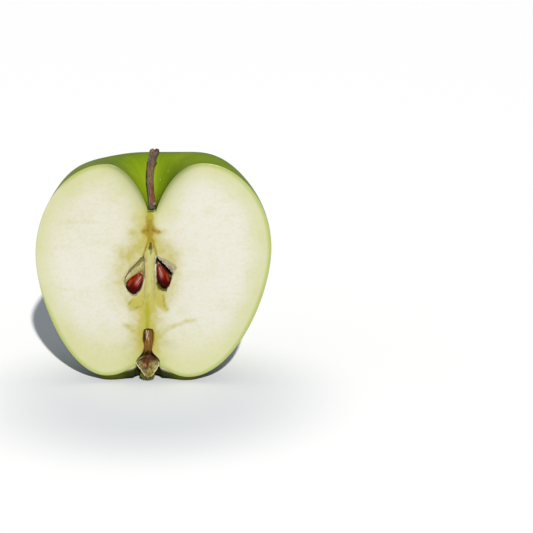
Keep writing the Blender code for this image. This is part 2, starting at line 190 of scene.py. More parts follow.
# Drawn marks on the cut: kind, strength, half width at the start and the end, line in x and z
MARKS = (
    ("warm", 0.55, 2.20, 2.60, ((0.40, 58.5), (0.30, 51.0))),
    ("warm", 0.32, 4.60, 4.80, ((-1.60, 58.0), (-1.80, 51.0))),
    ("warm", 0.34, 1.80, 2.20, ((-2.60, 47.4), (-4.60, 46.2), (-7.20, 44.6))),
    ("warm", 0.18, 3.60, 4.20, ((-2.60, 48.6), (-7.00, 45.6))),
    ("warm", 0.20, 2.20, 2.60, ((3.40, 47.2), (8.00, 44.4))),
    ("warm", 0.20, 3.60, 4.00, ((3.40, 48.6), (8.00, 45.6))),
    ("warm", 0.70, 2.60, 3.00, ((0.60, 47.0), (0.50, 40.0), (0.40, 31.0))),
    ("warm", 0.54, 2.20, 1.70, ((-2.20, 31.4), (-5.20, 28.0))),
    ("warm", 0.54, 2.20, 1.60, ((2.70, 32.0), (4.20, 28.0))),
    ("warm", 0.85, 3.20, 2.20, ((0.30, 32.0), (-0.20, 25.0))),
    ("warm", 0.30, 2.80, 3.00, ((-6.00, 43.0), (-9.20, 40.0), (-9.80, 35.0), (-7.40, 30.4))),
    ("warm", 0.28, 2.60, 2.80, ((6.60, 44.0), (8.80, 38.6), (8.20, 33.4), (5.80, 30.2))),
    ("warm", 0.31, 12.0, 11.0, ((0.20, 42.0), (0.10, 32.0))),
    ("warm", 0.15, 12.0, 13.0, ((-25.0, 58.0), (-15.0, 66.0))),
    ("warm", 0.12, 12.0, 13.0, ((-24.0, 16.0), (-13.0, 9.0))),
    ("warm", 0.85, 1.70, 1.90, ((-0.70, 28.0), (-1.10, 18.6))),
    ("warm", 0.42, 4.40, 5.20, ((-0.80, 27.0), (-1.00, 19.0))),
    ("warm", 0.40, 1.15, 1.35, ((-2.30, 18.6), (-3.10, 13.6), (-3.40, 11.0))),
    ("warm", 0.40, 1.15, 1.35, ((1.50, 18.6), (2.00, 13.6), (2.40, 11.0))),
    ("warm", 0.45, 5.50, 6.50, ((-0.50, 18.0), (-0.60, 10.0))),
    ("warm", 0.34, 1.20, 0.90, ((-2.50, 13.2), (-3.78, 16.7), (-5.76, 18.8), (-8.09, 20.2))),
    ("warm", 0.34, 1.20, 0.80, ((1.90, 13.9), (3.62, 16.7), (6.01, 18.8), (9.73, 20.6), (15.4, 22.0))),
    ("warm", 0.22, 0.45, 0.30, ((-29.0, 55.6), (-22.0, 56.0), (-15.7, 55.7))),
    ("warm", 0.18, 0.50, 0.30, ((-31.0, 47.2), (-24.0, 47.6))),
    ("warm", 0.16, 0.60, 0.40, ((-30.5, 33.0), (-25.0, 32.4))),
    ("ochre", 0.55, 0.90, 1.10, ((0.85, 58.4), (0.75, 55.8))),
    ("ochre", 0.90, 1.00, 1.60, ((0.75, 57.2), (0.68, 53.6), (0.70, 52.4))),
    ("ochre", 1.00, 1.20, 0.85, ((0.75, 52.8), (0.90, 49.6))),
    ("ochre", 0.85, 1.25, 0.75, ((0.40, 53.5), (-1.55, 52.4))),
    ("ochre", 0.85, 1.25, 0.75, ((1.20, 53.5), (3.65, 52.4))),
    ("ochre", 0.80, 0.45, 0.40, ((0.55, 50.1), (-0.20, 48.4), (-1.00, 46.3), (-1.46, 44.4))),
    ("ochre", 0.90, 0.45, 0.42, ((1.30, 50.1), (2.05, 48.0), (2.62, 45.9), (2.90, 44.0))),
    ("ochre", 0.13, 1.60, 1.90, ((-2.20, 47.2), (-4.60, 46.2), (-7.00, 44.6))),
    ("ochre", 0.34, 0.70, 0.90, ((-2.20, 43.8), (-5.60, 40.6), (-7.90, 38.0), (-8.70, 35.0))),
    ("ochre", 0.08, 1.60, 1.90, ((4.20, 46.4), (8.00, 44.4))),
    ("warm", 0.34, 1.20, 1.00, ((-1.30, 52.6), (-5.20, 52.3))),
    ("warm", 0.28, 1.20, 1.00, ((3.60, 52.6), (6.20, 52.4))),
    ("moss", 0.40, 0.34, 0.26, ((-6.95, 27.2), (-5.50, 29.0))),
    ("warm", 0.60, 0.80, 1.00, ((-5.40, 28.6), (-6.40, 27.0), (-4.60, 25.8))),
    ("ochre", 0.50, 0.40, 0.50, ((5.00, 30.6), (5.15, 28.6), (5.40, 26.2))),
    ("warm", 0.60, 0.80, 1.00, ((3.60, 29.6), (4.60, 27.4), (5.60, 26.0))),
    ("ochre", 0.55, 0.75, 0.55, ((-4.80, 25.9), (-3.40, 26.6))),
    ("ochre", 0.34, 0.34, 0.30, ((0.85, 37.2), (1.15, 34.6))),
    ("ochre", 0.40, 0.40, 0.30, ((-1.90, 28.6), (-2.20, 26.4))),
    ("brown", 0.42, 0.60, 0.50, ((0.30, 54.2), (0.15, 52.2))),
    ("brown", 0.55, 0.50, 0.40, ((-0.95, 52.9), (-0.20, 53.1))),
    ("brown", 0.60, 0.50, 0.42, ((1.50, 53.2), (2.60, 52.5))),
    ("brown", 0.42, 0.30, 0.25, ((-1.50, 44.6), (-1.30, 43.4))),
    ("brown", 0.40, 0.34, 0.30, ((3.00, 44.8), (3.05, 43.9))),
    ("green", 0.70, 1.10, 1.30, ((0.90, 57.8), (1.30, 60.0))),
    ("green", 0.42, 0.95, 0.70, ((-0.10, 31.0), (-0.41, 27.2), (-0.48, 24.0))),
    ("green", 0.90, 0.80, 1.10, ((-0.45, 27.0), (-0.60, 22.0), (-0.62, 18.9))),
    # Olive tint and painted shade in the small hollow on top of the core
    ("moss", 1.00, 0.34, 0.66, ((0.86, 48.5), (0.86, 46.9))),
    ("moss", 0.70, 0.62, 0.14, ((0.88, 46.9), (0.96, 44.6))),
    ("moss", 0.34, 0.30, 0.12, ((-0.30, 47.6), (-0.95, 45.0))),
    ("moss", 0.34, 0.30, 0.12, ((1.75, 47.4), (2.25, 45.0))),
    ("moss", 0.30, 0.40, 0.60, ((-0.55, 20.6), (-0.62, 18.9))),
    # Painted shadow below the right seed and at the right chamber's right edge
    ("moss", 0.85, 0.75, 0.60, ((3.00, 34.6), (3.80, 33.2), (4.80, 32.4), (5.80, 32.4))),
    ("moss", 0.50, 0.40, 0.35, ((7.70, 38.2), (7.75, 36.6), (7.30, 34.6))),
    # Painted shade in the crevice at the stalk's foot
    ("moss", 0.85, 0.55, 0.45, ((0.50, 59.55), (2.10, 59.55))),
    ("warm", 0.55, 0.80, 1.00, ((-4.90, 28.2), (-5.60, 26.2))),
    ("warm", 0.65, 1.20, 0.90, ((3.20, 29.6), (4.20, 27.0), (5.20, 26.0))),
    ("warm", 0.60, 1.60, 1.20, ((-2.40, 29.6), (-3.40, 27.0))),
    ("column", 0.90, 0.85, 0.95, ((0.70, 46.6), (0.70, 44.0), (0.55, 40.0), (0.45, 34.0), (0.30, 31.6))),
    ("column", 0.35, 0.60, 0.60, ((-0.20, 33.0), (-0.10, 27.0))),
    ("grey", 0.70, 0.34, 0.40, ((-0.95, 44.8), (-0.98, 41.0), (-1.12, 37.0))),
    ("grey", 0.60, 0.40, 0.20, ((-1.12, 37.4), (-1.20, 34.0), (-1.30, 29.6))),
    ("grey", 0.75, 0.30, 0.40, ((2.35, 44.6), (2.25, 41.0), (2.15, 37.0))),
    ("grey", 0.60, 0.40, 0.20, ((2.15, 37.4), (2.05, 34.0), (1.95, 29.6))),
    ("grey", 0.30, 0.20, 0.20, ((-0.30, 44.8), (-0.34, 38.0), (-0.40, 31.0))),
    ("grey", 0.25, 0.20, 0.20, ((1.72, 44.4), (1.62, 38.0), (1.40, 31.0))),
    ("flap", 0.16, 1.70, 1.70, ((-5.00, 13.6), (-7.60, 13.0))),
    ("flap", 0.16, 1.70, 1.70, ((5.40, 13.6), (8.20, 13.0))),
    # Painted shade: the deep gap between the torn lining and the right seed, then shaded edges of the
    # chambers
    ("dark", 1.00, 0.60, 1.20, ((2.95, 43.2), (3.80, 42.1), (5.00, 40.9), (6.30, 39.6), (7.40, 38.4))),
    ("dark", 1.00, 0.55, 0.90, ((3.30, 42.3), (4.50, 40.7), (5.90, 39.1), (6.90, 37.6))),
    ("ochre", 0.80, 0.30, 0.30, ((1.62, 17.8), (1.60, 16.6), (1.47, 15.0), (1.30, 13.8), (1.14, 12.2))),
    ("dark", 0.55, 0.35, 0.30, ((2.78, 42.8), (2.74, 38.0), (3.10, 34.6))),
    ("dark", 0.30, 0.40, 0.30, ((-1.46, 44.0), (-1.75, 43.2))),
    ("paper", 0.85, 0.20, 0.16, ((-1.50, 41.9), (-3.03, 40.4), (-4.72, 39.1), (-6.08, 37.7), (-7.40, 36.2))),
    ("paper", 0.75, 0.20, 0.16, ((3.45, 43.3), (5.00, 41.75), (6.60, 40.3), (7.85, 39.0))),
    ("paper", 0.50, 0.20, 0.16, ((3.30, 44.1), (4.90, 43.5), (6.90, 42.4), (8.80, 41.0))),
    # Painted highlight beside the right seed
    ("paper", 0.95, 0.24, 0.18, ((2.52, 41.2), (2.58, 39.4), (2.66, 37.6))),
    ("paper", 0.65, 0.22, 0.18, ((-1.44, 36.0), (-1.90, 33.6), (-3.20, 31.2))),
    ("paper", 0.55, 0.26, 0.22, ((2.62, 44.2), (2.50, 42.4))),
    ("maroon", 0.95, 0.55, 0.75, ((-2.20, 8.3), (-1.60, 6.8), (-1.75, 5.4), (-2.00, 5.0))),
    ("maroon", 0.95, 0.60, 0.55, ((-0.20, 8.0), (-0.80, 6.4), (-1.30, 5.2))),
    ("maroon", 1.00, 0.80, 1.00, ((-3.60, 8.2), (-0.60, 8.5), (2.40, 8.2))),
    ("salmon", 0.90, 0.40, 0.34, ((-1.70, 6.4), (-1.35, 5.9))),
    ("salmon", 1.00, 0.42, 0.40, ((0.10, 5.9), (0.50, 5.4))),
    ("salmon", 0.60, 0.40, 0.40, ((-1.80, 2.6), (-1.40, 2.0))),
    ("pale", 0.95, 1.10, 0.70, ((-3.70, 6.9), (-2.90, 5.2), (-1.70, 3.0))),
    ("pale", 0.95, 1.30, 0.80, ((2.30, 7.3), (1.70, 5.6), (0.40, 3.2))),
    ("pale", 0.70, 0.90, 0.60, ((0.70, 7.4), (0.60, 5.8), (-0.40, 3.0))),
)

# Kinds of marks on the flesh, and how many millimetres further in the paler rim of the left cheek is put
KINDS = ("warm", "column", "grey", "flap", "ochre", "green", "brown", "moss", "paper", "dark")
RIM_PALER = 1.3

# Stalk: centre line from foot to tip with its half width, in x, behind, z
STALK_STATIONS = (
    (1.46, 0.90, 60.20, 0.90),
    (1.48, 0.90, 61.20, 0.96),
    (1.58, 0.92, 62.30, 1.08),
    (1.50, 0.95, 63.60, 1.10),
    (1.36, 0.98, 65.20, 1.09),
    (1.22, 1.02, 67.60, 1.10),
    (1.14, 1.08, 70.00, 1.10),
    (1.24, 1.14, 72.40, 1.13),
    (1.48, 1.20, 74.40, 1.18),
    (1.90, 1.25, 76.60, 1.30),
    (2.33, 1.28, 78.10, 1.48),
    (2.58, 1.30, 79.05, 1.66),
    (2.68, 1.30, 79.60, 1.60),
)

# Calyx cushion from its top to its tip: height, left and right edge, front and back behind the cut
CALYX_CUSHION = (
    (8.40, -0.90, -0.40, 0.90, 1.50),
    (8.32, -1.80, 0.45, 0.50, 2.30),
    (8.12, -2.80, 1.50, 0.25, 2.80),
    (7.80, -3.60, 2.35, 0.00, 3.00),
    (7.40, -4.15, 2.95, -0.12, 3.10),
    (6.80, -4.42, 3.18, -0.15, 3.10),
    (6.10, -4.25, 3.10, -0.15, 3.00),
    (5.30, -3.60, 2.75, -0.15, 2.80),
    (4.40, -2.85, 2.15, -0.15, 2.50),
    (3.50, -2.25, 1.55, -0.15, 2.00),
    (2.70, -1.90, 0.85, -0.12, 1.40),
    (2.00, -1.55, 0.25, -0.08, 0.80),
    (1.65, -1.05, -0.35, 0.10, 0.40),
)

# Sepals: line in x, behind, z, widest half width, half thickness, side with the pale rim
CALYX_SEPALS = (
    (((-3.55, 0.30, 7.3), (-3.10, 0.00, 5.8), (-2.30, -0.12, 4.2), (-1.55, -0.15, 2.1)), 0.62, 0.10, 1.0),
    (((2.45, 0.30, 7.4), (2.05, 0.00, 6.0), (1.35, -0.12, 4.2), (0.05, -0.15, 2.0)), 0.62, 0.10, -1.0),
    (((-2.40, 0.20, 7.0), (-1.90, -0.05, 5.4), (-1.45, -0.18, 3.8), (-1.20, -0.18, 1.7)), 0.55, 0.09, 0.0),
    (((1.50, 0.20, 7.5), (1.15, -0.05, 5.8), (0.60, -0.18, 4.0), (-0.35, -0.20, 1.9)), 0.60, 0.09, 0.0),
    (((-0.60, 0.05, 5.0), (-0.65, -0.15, 4.0), (-0.75, -0.22, 3.0), (-0.75, -0.20, 1.6)), 0.55, 0.09, 0.0),
)

# Pale rims of the two outer sepals: line in x, behind, z
CALYX_RIMS = (
    ((-4.40, 0.06, 7.2), (-4.48, 0.02, 6.5), (-3.65, -0.12, 5.4), (-2.50, -0.24, 3.8), (-1.75, -0.22, 2.2)),
    ((3.00, 0.06, 7.2), (3.06, 0.02, 6.5), (2.55, -0.14, 5.2), (1.65, -0.24, 3.8), (0.30, -0.22, 2.0)),
)

# Teeth at the ground behind the tip: x at the top, x and height of the end
CALYX_FRINGE = (
    (-2.30, -3.30, 1.60), (-2.00, -2.75, 0.85), (-1.70, -2.15, 0.35), (-1.30, -1.50, 0.22),
    (-0.90, -0.90, 0.04), (-0.40, -0.30, 0.20), (0.00, 0.30, 0.30), (0.30, 0.90, 0.75), (0.60, 1.50, 1.55),
)

# Seeds: pointed tip, round end, half widths away from and towards the core at each share of the length
SEEDS = {
    "seed_left": {
        "tip": (-2.00, 38.45), "end": (-6.10, 31.35), "outward": -1.0, "notch": 0.13,
        "outer": (0.0, 1.25, 2.05, 2.60, 2.90, 2.60, 0.0),
        "inner": (0.0, 1.00, 1.65, 2.05, 2.25, 1.85, 0.0),
    },
    "seed_right": {
        "tip": (3.42, 41.85), "end": (5.86, 33.15), "outward": 1.0, "notch": 0.02,
        "outer": (0.0, 0.74, 1.38, 1.98, 2.38, 2.12, 0.0),
        "inner": (0.0, 0.70, 1.30, 1.70, 1.85, 1.45, 0.0),
    },
}
SEED_THICKNESS = 2.3
SEED_BEHIND = 0.72

# Rings and sides of the stalk and the seeds
STALK_RINGS = 150
STALK_SIDES = 48
CROWN_RINGS = 10
SEED_RINGS = 56
SEED_SIDES = 40

# Calyx: x of its middle, kinds of its parts, start of the dice, and how many stamens and hairs they place
CALYX_X = -0.7
CUSHION, SEPAL, STAMEN, HAIR, TOOTH = range(5)
DICE_START = 7
STAMEN_COUNT = 64
HAIR_COUNT = 420

# Floor, light and camera, in metres
FLOOR_CORNERS = ((-4.0, -4.0, 0.0), (4.0, -4.0, 0.0), (4.0, 6.0, 0.0), (-4.0, 6.0, 0.0))
# The floor is painted darker near FLOOR_MIDDLE, turning pale from FLOOR_NEAR to FLOOR_FAR out: painted shade
# round the fruit
FLOOR_MIDDLE = (0.0, -0.04, 0.0)
FLOOR_NEAR = 0.02
FLOOR_FAR = 0.078
SKY_STRENGTH = 0.265
SUN_POWER = 4.8
SUN_WIDTH = math.radians(1.4)
SUN_COLOUR = (1.0, 0.98, 0.94)
SUN_TRAVEL = (-0.134, 0.846, -0.516)
SOFT_POWER = 0.12
SOFT_SIZE = 0.5
SOFT_PLACE = (-0.45, -0.35, 0.75)
SOFT_AIM = (0.0, 0.0, 0.04)
CAMERA_LENS = 125.63
CAMERA_SENSOR = 36.0
CAMERA_REACH = 20.0
CAMERA_PLACE = (0.037616, -0.618374, 0.201059)
CAMERA_TILT = math.radians(75)


def colour(name, description, default):
    """A colour that the user may change."""
    return FloatVectorProperty(
        name=name, description=description, subtype="COLOR", size=3, min=0.0, max=1.0, default=default
    )


def length(name, description, default, largest):
    """A length in metres that the user may change."""
    return FloatProperty(
        name=name, description=description, unit="LENGTH", min=0.0, max=largest, default=default, precision=5
    )


class FleshSettings(bpy.types.PropertyGroup):
    """Flesh and skin."""

    flesh: colour("Flesh", "Middle of the cut", (0.463, 0.453, 0.412))
    flesh_outer: colour("Outer flesh", "Flesh a few millimetres inside the skin", (0.364, 0.373, 0.175))
    flesh_low: colour("Low flesh", "Flesh round the calyx end", (0.406, 0.411, 0.235))
    edge: colour("Edge", "Line of skin round the cut", (0.236, 0.283, 0.057))
    edge_dull: colour("Dull edge", "Flesh and skin beside the stalk hollow", (0.156, 0.180, 0.061))
    warm: colour("Warm flesh", "Yellow flesh round the core", (0.302, 0.274, 0.057))
    ochre: colour("Ochre", "Strands and stains round the core", (0.213, 0.159, 0.009))
    green: colour("Green", "Green strands on the core line", (0.248, 0.238, 0.020))
    # Dark olive green: a real olive tint in places, and painted shade in the left chamber's ledge, below and
    # beside the right seed, in the hollow on top of the core and in the crevice at the stalk's foot
    moss: colour("Moss green", "Shaded green in the core and the chambers", (0.085, 0.080, 0.008))
    brown: colour("Brown", "Dried spots of the core", (0.135, 0.070, 0.014))
    # Dark is painted shade: near black in the deep gap between the torn lining and the right seed, and at
    # shaded edges of the chambers
    dark: colour("Dark", "Dark lining of the right chamber", (0.010, 0.004, 0.003))
    column: colour("Column", "Pale green column between the chambers", (0.330, 0.320, 0.124))
    grey: colour("Greyish", "Greyish lines beside the column", (0.213, 0.180, 0.085))
    paper: colour("Paper", "Papery chamber walls", (0.472, 0.444, 0.321))
    flap: colour("Torn lining", "Pinkish grey torn lining", (0.255, 0.205, 0.125))
    wall: colour("Chamber wall", "Back of the seed chambers", (0.260, 0.217, 0.061))
    tube: colour("Tube", "Dried wall of the calyx tube", (0.138, 0.066, 0.012))
    # Dark tube: the tube's darker walls, and painted shade in the arch over the calyx
    tube_dark: colour("Dark tube", "Dark walls of the calyx tube", (0.040, 0.010, 0.004))
    skin: colour("Skin", "Waxy green skin", (0.135, 0.215, 0.004))
    skin_deep: colour("Deep skin", "Skin in the hollow and in its darker patches", (0.083, 0.128, 0.003))
    skin_pale: colour("Pale skin", "Yellower patches of the skin", (0.215, 0.275, 0.010))
    # Low skin is painted shade: the underside and the throat of the stalk hollow made darker
    skin_shade: colour("Low skin", "Dark olive skin at the calyx end", (0.050, 0.054, 0.001))
    # Basin skin is painted shade in the calyx basin below the cut
    skin_basin_shade: colour("Basin skin", "Darker skin in the calyx basin", (0.016, 0.023, 0.001))
    # Down is pale downy skin, made brighter as painted light where it lies in shade
    down: colour("Down", "Pale downy skin beside the calyx", (0.470, 0.460, 0.300))
    lenticel: colour("Lenticels", "Small pale dots on the skin", (0.36, 0.40, 0.13))
    edge_round: length("Edge radius", "Rounding of the cut edge", 0.00025, 0.0005)
    chamber_depth: length("Chamber depth", "Depth of the seed chambers behind the cut", 0.0029, 0.0035)


class StalkSettings(bpy.types.PropertyGroup):
    """Stalk."""

    bark: colour("Bark", "Grey-brown bark", (0.082, 0.056, 0.040))
    bark_dark: colour("Dark bark", "Cracks and the foot", (0.035, 0.022, 0.016))
    bark_warm: colour("Warm bark", "Orange-brown stripe", (0.190, 0.090, 0.026))
    bark_pale: colour("Pale bark", "Lilac-grey flank and knobs", (0.200, 0.155, 0.130))
    bark_red: colour("Red bark", "Reddish lower flank", (0.120, 0.030, 0.006))
    ridge: length("Ridge height", "Height of the bark's ridges", 0.00007, 0.0002)


class SeedSettings(bpy.types.PropertyGroup):
    """Seeds."""

    coat: colour("Coat", "Seed coat", (0.108, 0.0022, 0.0002))
    coat_dark: colour("Dark coat", "Darker end of the seed", (0.018, 0.0012, 0.0006))
    # Light coat: pale streaks, and painted highlight on the outer flank
    coat_pale_and_highlight: colour("Light coat", "Streaks on the seed", (0.250, 0.044, 0.012))
    # Bright streaks are painted highlights down the middle of the seed
    coat_highlight: colour("Bright streaks", "Pinkish streaks down the middle", (0.440, 0.240, 0.200))
    coat_tip: colour("Seed tip", "Pale torn tip", (0.340, 0.190, 0.065))


class CalyxSettings(bpy.types.PropertyGroup):
    """Dried calyx."""

    sepal: colour("Sepal", "Outside of the sepals", (0.195, 0.168, 0.036))
    sepal_rim: colour("Sepal rim", "Pale rims of the sepals", (0.430, 0.390, 0.230))
    stamen: colour("Stamens", "Dry olive stamens", (0.088, 0.068, 0.013))
    stamen_red: colour("Reddish stamens", "Maroon ones in the middle", (0.050, 0.014, 0.005))
    salmon: colour("Salmon", "Salmon-pink spots", (0.340, 0.140, 0.070))
    fringe: colour("Fringe", "Dark green teeth at the ground", (0.062, 0.070, 0.006))


class StageSettings(bpy.types.PropertyGroup):
    """Floor and light."""

    # The floor colour near the fruit is painted shade; the far colour is the plain floor
    floor: colour("Floor", "Plain pale floor round the fruit", (0.670, 0.69, 0.725))
    floor_far: colour("Far floor", "Floor away from the fruit", (1.0, 1.0, 1.0))
    sky: colour("Sky", "Soft light from all round", (0.82, 0.89, 1.0))


class Number:
    """A number read from a socket. Python's operators on it add Math nodes."""

    def __init__(self, paint, socket):
        self.paint = paint
        self.socket = socket

    def __add__(self, other):
        return self.paint.math("ADD", self, other)

    def __sub__(self, other):
        return self.paint.math("SUBTRACT", self, other)

    def __mul__(self, other):
        return self.paint.math("MULTIPLY", self, other)

    def __truediv__(self, other):
        return self.paint.math("DIVIDE", self, other)

    def __pow__(self, other):
        return self.paint.math("POWER", self, other)

    def __rsub__(self, other):
        return self.paint.math("SUBTRACT", other, self)

    def __rtruediv__(self, other):
        return self.paint.math("DIVIDE", other, self)

    __radd__ = __add__
    __rmul__ = __mul__

    def between(self, low, high):
        """0 at low, 1 at high, smooth between them."""
        made = self.paint.node(
            "ShaderNodeMapRange",
            {"interpolation_type": "SMOOTHSTEP"},
            {"Value": self, "From Min": low, "From Max": high},
        )
        return Number(self.paint, made.outputs["Result"])


class Paint:
    """A material, with calls that add its nodes."""

    def __init__(self, name, roughness, **uniform):
        self.material = bpy.data.materials.new(name)
        self.material.use_nodes = True
        self.tree = self.material.node_tree
        self.shader = self.tree.nodes["Principled BSDF"]
        self.shader.inputs["Roughness"].default_value = roughness
        for key, value in uniform.items():
            self.shader.inputs[key.replace("_", " ").title().replace("Ior", "IOR")].default_value = value

    def node(self, kind, settings, inputs):
        """A node of any kind: its settings first, then the values or links of its sockets."""
        made = self.tree.nodes.new(kind)
        for key, value in settings.items():
            setattr(made, key, value)
        for key, value in inputs.items():
            self.put(made.inputs[key], value)
        return made

    def put(self, socket, value):
        """Gives a socket a link, a colour or a number."""
        if isinstance(value, Number):
            value = value.socket
        if isinstance(value, bpy.types.NodeSocket):
            self.tree.links.new(value, socket)
        elif isinstance(value, (int, float)):
            socket.default_value = value
        else:
            socket.default_value = (*value, 1.0) if len(socket.default_value) == 4 else tuple(value)

    def math(self, operation, *values):
        """The number that a Math node makes of others."""
        made = self.node("ShaderNodeMath", {"operation": operation}, dict(enumerate(values)))
        return Number(self, made.outputs[0])

    def mask(self, name):
        """A number that the mesh carries."""
        made = self.node("ShaderNodeAttribute", {"attribute_name": name}, {})
        return Number(self, made.outputs["Fac"])

    def vector(self, name):
        """A vector that the mesh carries."""
        return self.node("ShaderNodeAttribute", {"attribute_name": name}, {}).outputs["Vector"]

    def place(self):
        """The place of the point, in metres."""
        return self.node("ShaderNodeTexCoord", {}, {}).outputs["Object"]

    def stretched(self, vector, scale):
        """A vector scaled on each axis."""
        made = self.node("ShaderNodeVectorMath", {"operation": "MULTIPLY"}, {0: vector, 1: scale})
        return made.outputs["Vector"]

    def noise(self, vector, scale, detail=2.0, roughness=0.5):
        """A cloudy number from 0 to 1."""
        made = self.node(
            "ShaderNodeTexNoise",
            {},
            {"Vector": vector, "Scale": scale, "Detail": detail, "Roughness": roughness},
        )
        return Number(self, made.outputs["Fac"])

    def cells(self, vector, scale):
        """Distance to the nearest of scattered points, and a random number for each of them."""
        made = self.node("ShaderNodeTexVoronoi", {}, {"Vector": vector, "Scale": scale})
        chance = self.node("ShaderNodeSeparateColor", {}, {"Color": made.outputs["Color"]})
        return Number(self, made.outputs["Distance"]), Number(self, chance.outputs["Red"])

    def mix(self, under, over, share):
        """One colour over another."""
        made = self.node("ShaderNodeMix", {"data_type": "RGBA"}, {0: share, 6: under, 7: over})
        return made.outputs[2]

    def bump(self, height, depth, strength=1.0):
        """Makes the surface look raised by the height times the depth, in metres."""
        made = self.node("ShaderNodeBump", {}, {"Height": height, "Distance": depth, "Strength": strength})
        self.put(self.shader.inputs["Normal"], made.outputs["Normal"])

    def finish(self, **links):
        """Links the last numbers and colours to the shader, and gives the material."""
        for key, value in links.items():
            self.put(self.shader.inputs[key.replace("_", " ").title()], value)
        return self.material


def metres(x, behind, z):
    """Millimetres counted from the core and the cut, as metres in the frame."""
    return np.stack(np.broadcast_arrays(CORE_X + x, CUT_Y + behind, z), -1) / 1000.0


def core_x(z):
    """The leaning core: x = x0 + (z - z0) (x1 - x0) / (z1 - z0)."""
    share = (z - LEAN_FOOT[1]) / (LEAN_TOP[1] - LEAN_FOOT[1])
    return LEAN_FOOT[0] + share * (LEAN_TOP[0] - LEAN_FOOT[0])


def ease(value, low, high):
    """3 t^2 - 2 t^3, where t goes from 0 at low to 1 at high."""
    t = np.clip((value - low) / (high - low), 0.0, 1.0)
    return t * t * (3.0 - 2.0 * t)


def bezier(a, b, c, d, t):
    """(1-t)^3 a + 3 (1-t)^2 t b + 3 (1-t) t^2 c + t^3 d."""
    s = 1.0 - t
    return s**3 * a + 3.0 * s**2 * t * b + 3.0 * s * t**2 * c + t**3 * d


def eased_table(value, keys, values):
    """A smooth curve through a table: cubic pieces whose slope at a key is that of its two neighbours."""
    keys = np.asarray(keys, float)
    values = np.asarray(values, float)
    slopes = np.gradient(values, keys)
    at = np.clip(np.searchsorted(keys, value, side="right") - 1, 0, len(keys) - 2)
    step = keys[at + 1] - keys[at]
    t = np.clip((value - keys[at]) / step, 0.0, 1.0)
    lift = slopes[at] * step / 3.0
    fall = slopes[at + 1] * step / 3.0
    return bezier(values[at], values[at] + lift, values[at + 1] - fall, values[at + 1], t)


def closed_curve(points, steps):
    """A closed curve through points: cubic pieces that leave each along the line of its neighbours."""
    here = np.array(points, float)
    after = np.roll(here, -1, 0)
    lean = (after - np.roll(here, 1, 0)) / 6.0
    t = np.linspace(0.0, 1.0, steps, endpoint=False)[None, :, None]
    curve = bezier(
        here[:, None], (here + lean)[:, None], (after - np.roll(lean, -1, 0))[:, None], after[:, None], t
    )
    return curve.reshape(-1, 2)


def to_line(x, z, line):
    """Distance to a line of points, and how far along it, from 0 to 1, its nearest point lies."""
    line = np.array(line, float)
    best = np.full(x.shape, 1e9)
    along = np.zeros(x.shape)
    count = len(line) - 1
    for number in range(count):
        start = line[number]
        step = line[number + 1] - start
        t = np.clip(((x - start[0]) * step[0] + (z - start[1]) * step[1]) / (step @ step), 0.0, 1.0)
        far = np.hypot(x - start[0] - t * step[0], z - start[1] - t * step[1])
        near = far < best
        best = np.where(near, far, best)
        along = np.where(near, (number + t) / count, along)
    return best, along


def ragged(points):
    """A closed curve through points, shifted by small uneven waves."""
    curve = closed_curve(points, 10)
    shift_x = RAGGED_SHIFT * waves(curve[:, 0], curve[:, 1], RAGGED_SIZE, 3)
    shift_z = RAGGED_SHIFT * waves(curve[:, 0], curve[:, 1], RAGGED_SIZE, 8)
    return curve + np.stack([shift_x, shift_z], -1)


def inside(x, z, loop):
    """True where a level ray from the point crosses the loop an odd number of times."""
    crossed = np.zeros(x.shape, bool)
    for one, other in zip(loop, np.roll(loop, -1, 0)):
        spans = (one[1] > z) != (other[1] > z)
        rise = other[1] - one[1]
        cross = one[0] + (z - one[1]) * (other[0] - one[0]) / (rise if rise else 1.0)
        crossed ^= spans & (x < cross)
    return crossed


def outline(turn):
    """Skin radius and height before the lobes, for rows up the fruit and columns round it.

    Each side is a mix of the right or left one and the back one by sin^2 of the turn. Four Bezier curves
    run up it: basin, flank, cheek and stalk hollow. Corner, sin^2 of twice the turn, fills the shoulders.
    """
    share = np.sin(turn) ** 2
    corner = np.sin(2.0 * turn) ** 2
    side = {}
    for key, value in RIGHT.items():
        near = np.where(turn <= math.pi / 2, value, LEFT[key])
        side[key] = near + share * (BACK[key] - near)
    top_r = side["top_r"] + corner * side["corner_up"]
    top_z = side["top_z"] + corner * side["corner_up"]
    rise = side["cheek_up"] + corner * side["corner_rise"]
    out = side["shoulder_out"] + corner * side["corner_out"]
    throat_r = np.full(turn.shape, THROAT_R)
    throat_z = np.full(turn.shape, THROAT_Z)
    foot = (side["foot_r"], side["foot_z"])
    cheek = (side["cheek_r"], side["cheek_z"])
    curves = (
        (
            (side["rim_r"], side["rim_z"]),
            (
                side["rim_r"] + RIM_REACH * math.cos(RIM_SLOPE),
                side["rim_z"] - RIM_REACH * math.sin(RIM_SLOPE),
            ),
            (foot[0] - side["foot_in"], foot[1]),
            foot,
        ),
        (foot, (foot[0] + side["foot_out"], foot[1]), (cheek[0], cheek[1] - side["cheek_down"]), cheek),
        (cheek, (cheek[0], cheek[1] + rise), (top_r + out, top_z), (top_r, top_z)),
        (
            (top_r, top_z),
            (top_r - side["shoulder_in"], top_z),
            (
                throat_r + THROAT_REACH * math.sin(THROAT_SLOPE),
                throat_z + THROAT_REACH * math.cos(THROAT_SLOPE),
            ),
            (throat_r, throat_z),
        ),
    )
    radius = []
    height = []
    for count, curve in zip(STRETCH_ROWS, curves):
        t = (np.arange(count) / count)[:, None]
        radius.append(bezier(*(point[0][None] for point in curve), t))
        height.append(bezier(*(point[1][None] for point in curve), t))
    radius.append(throat_r[None])
    height.append(throat_z[None])
    return np.concatenate(radius), np.concatenate(height), side["foot_r"]


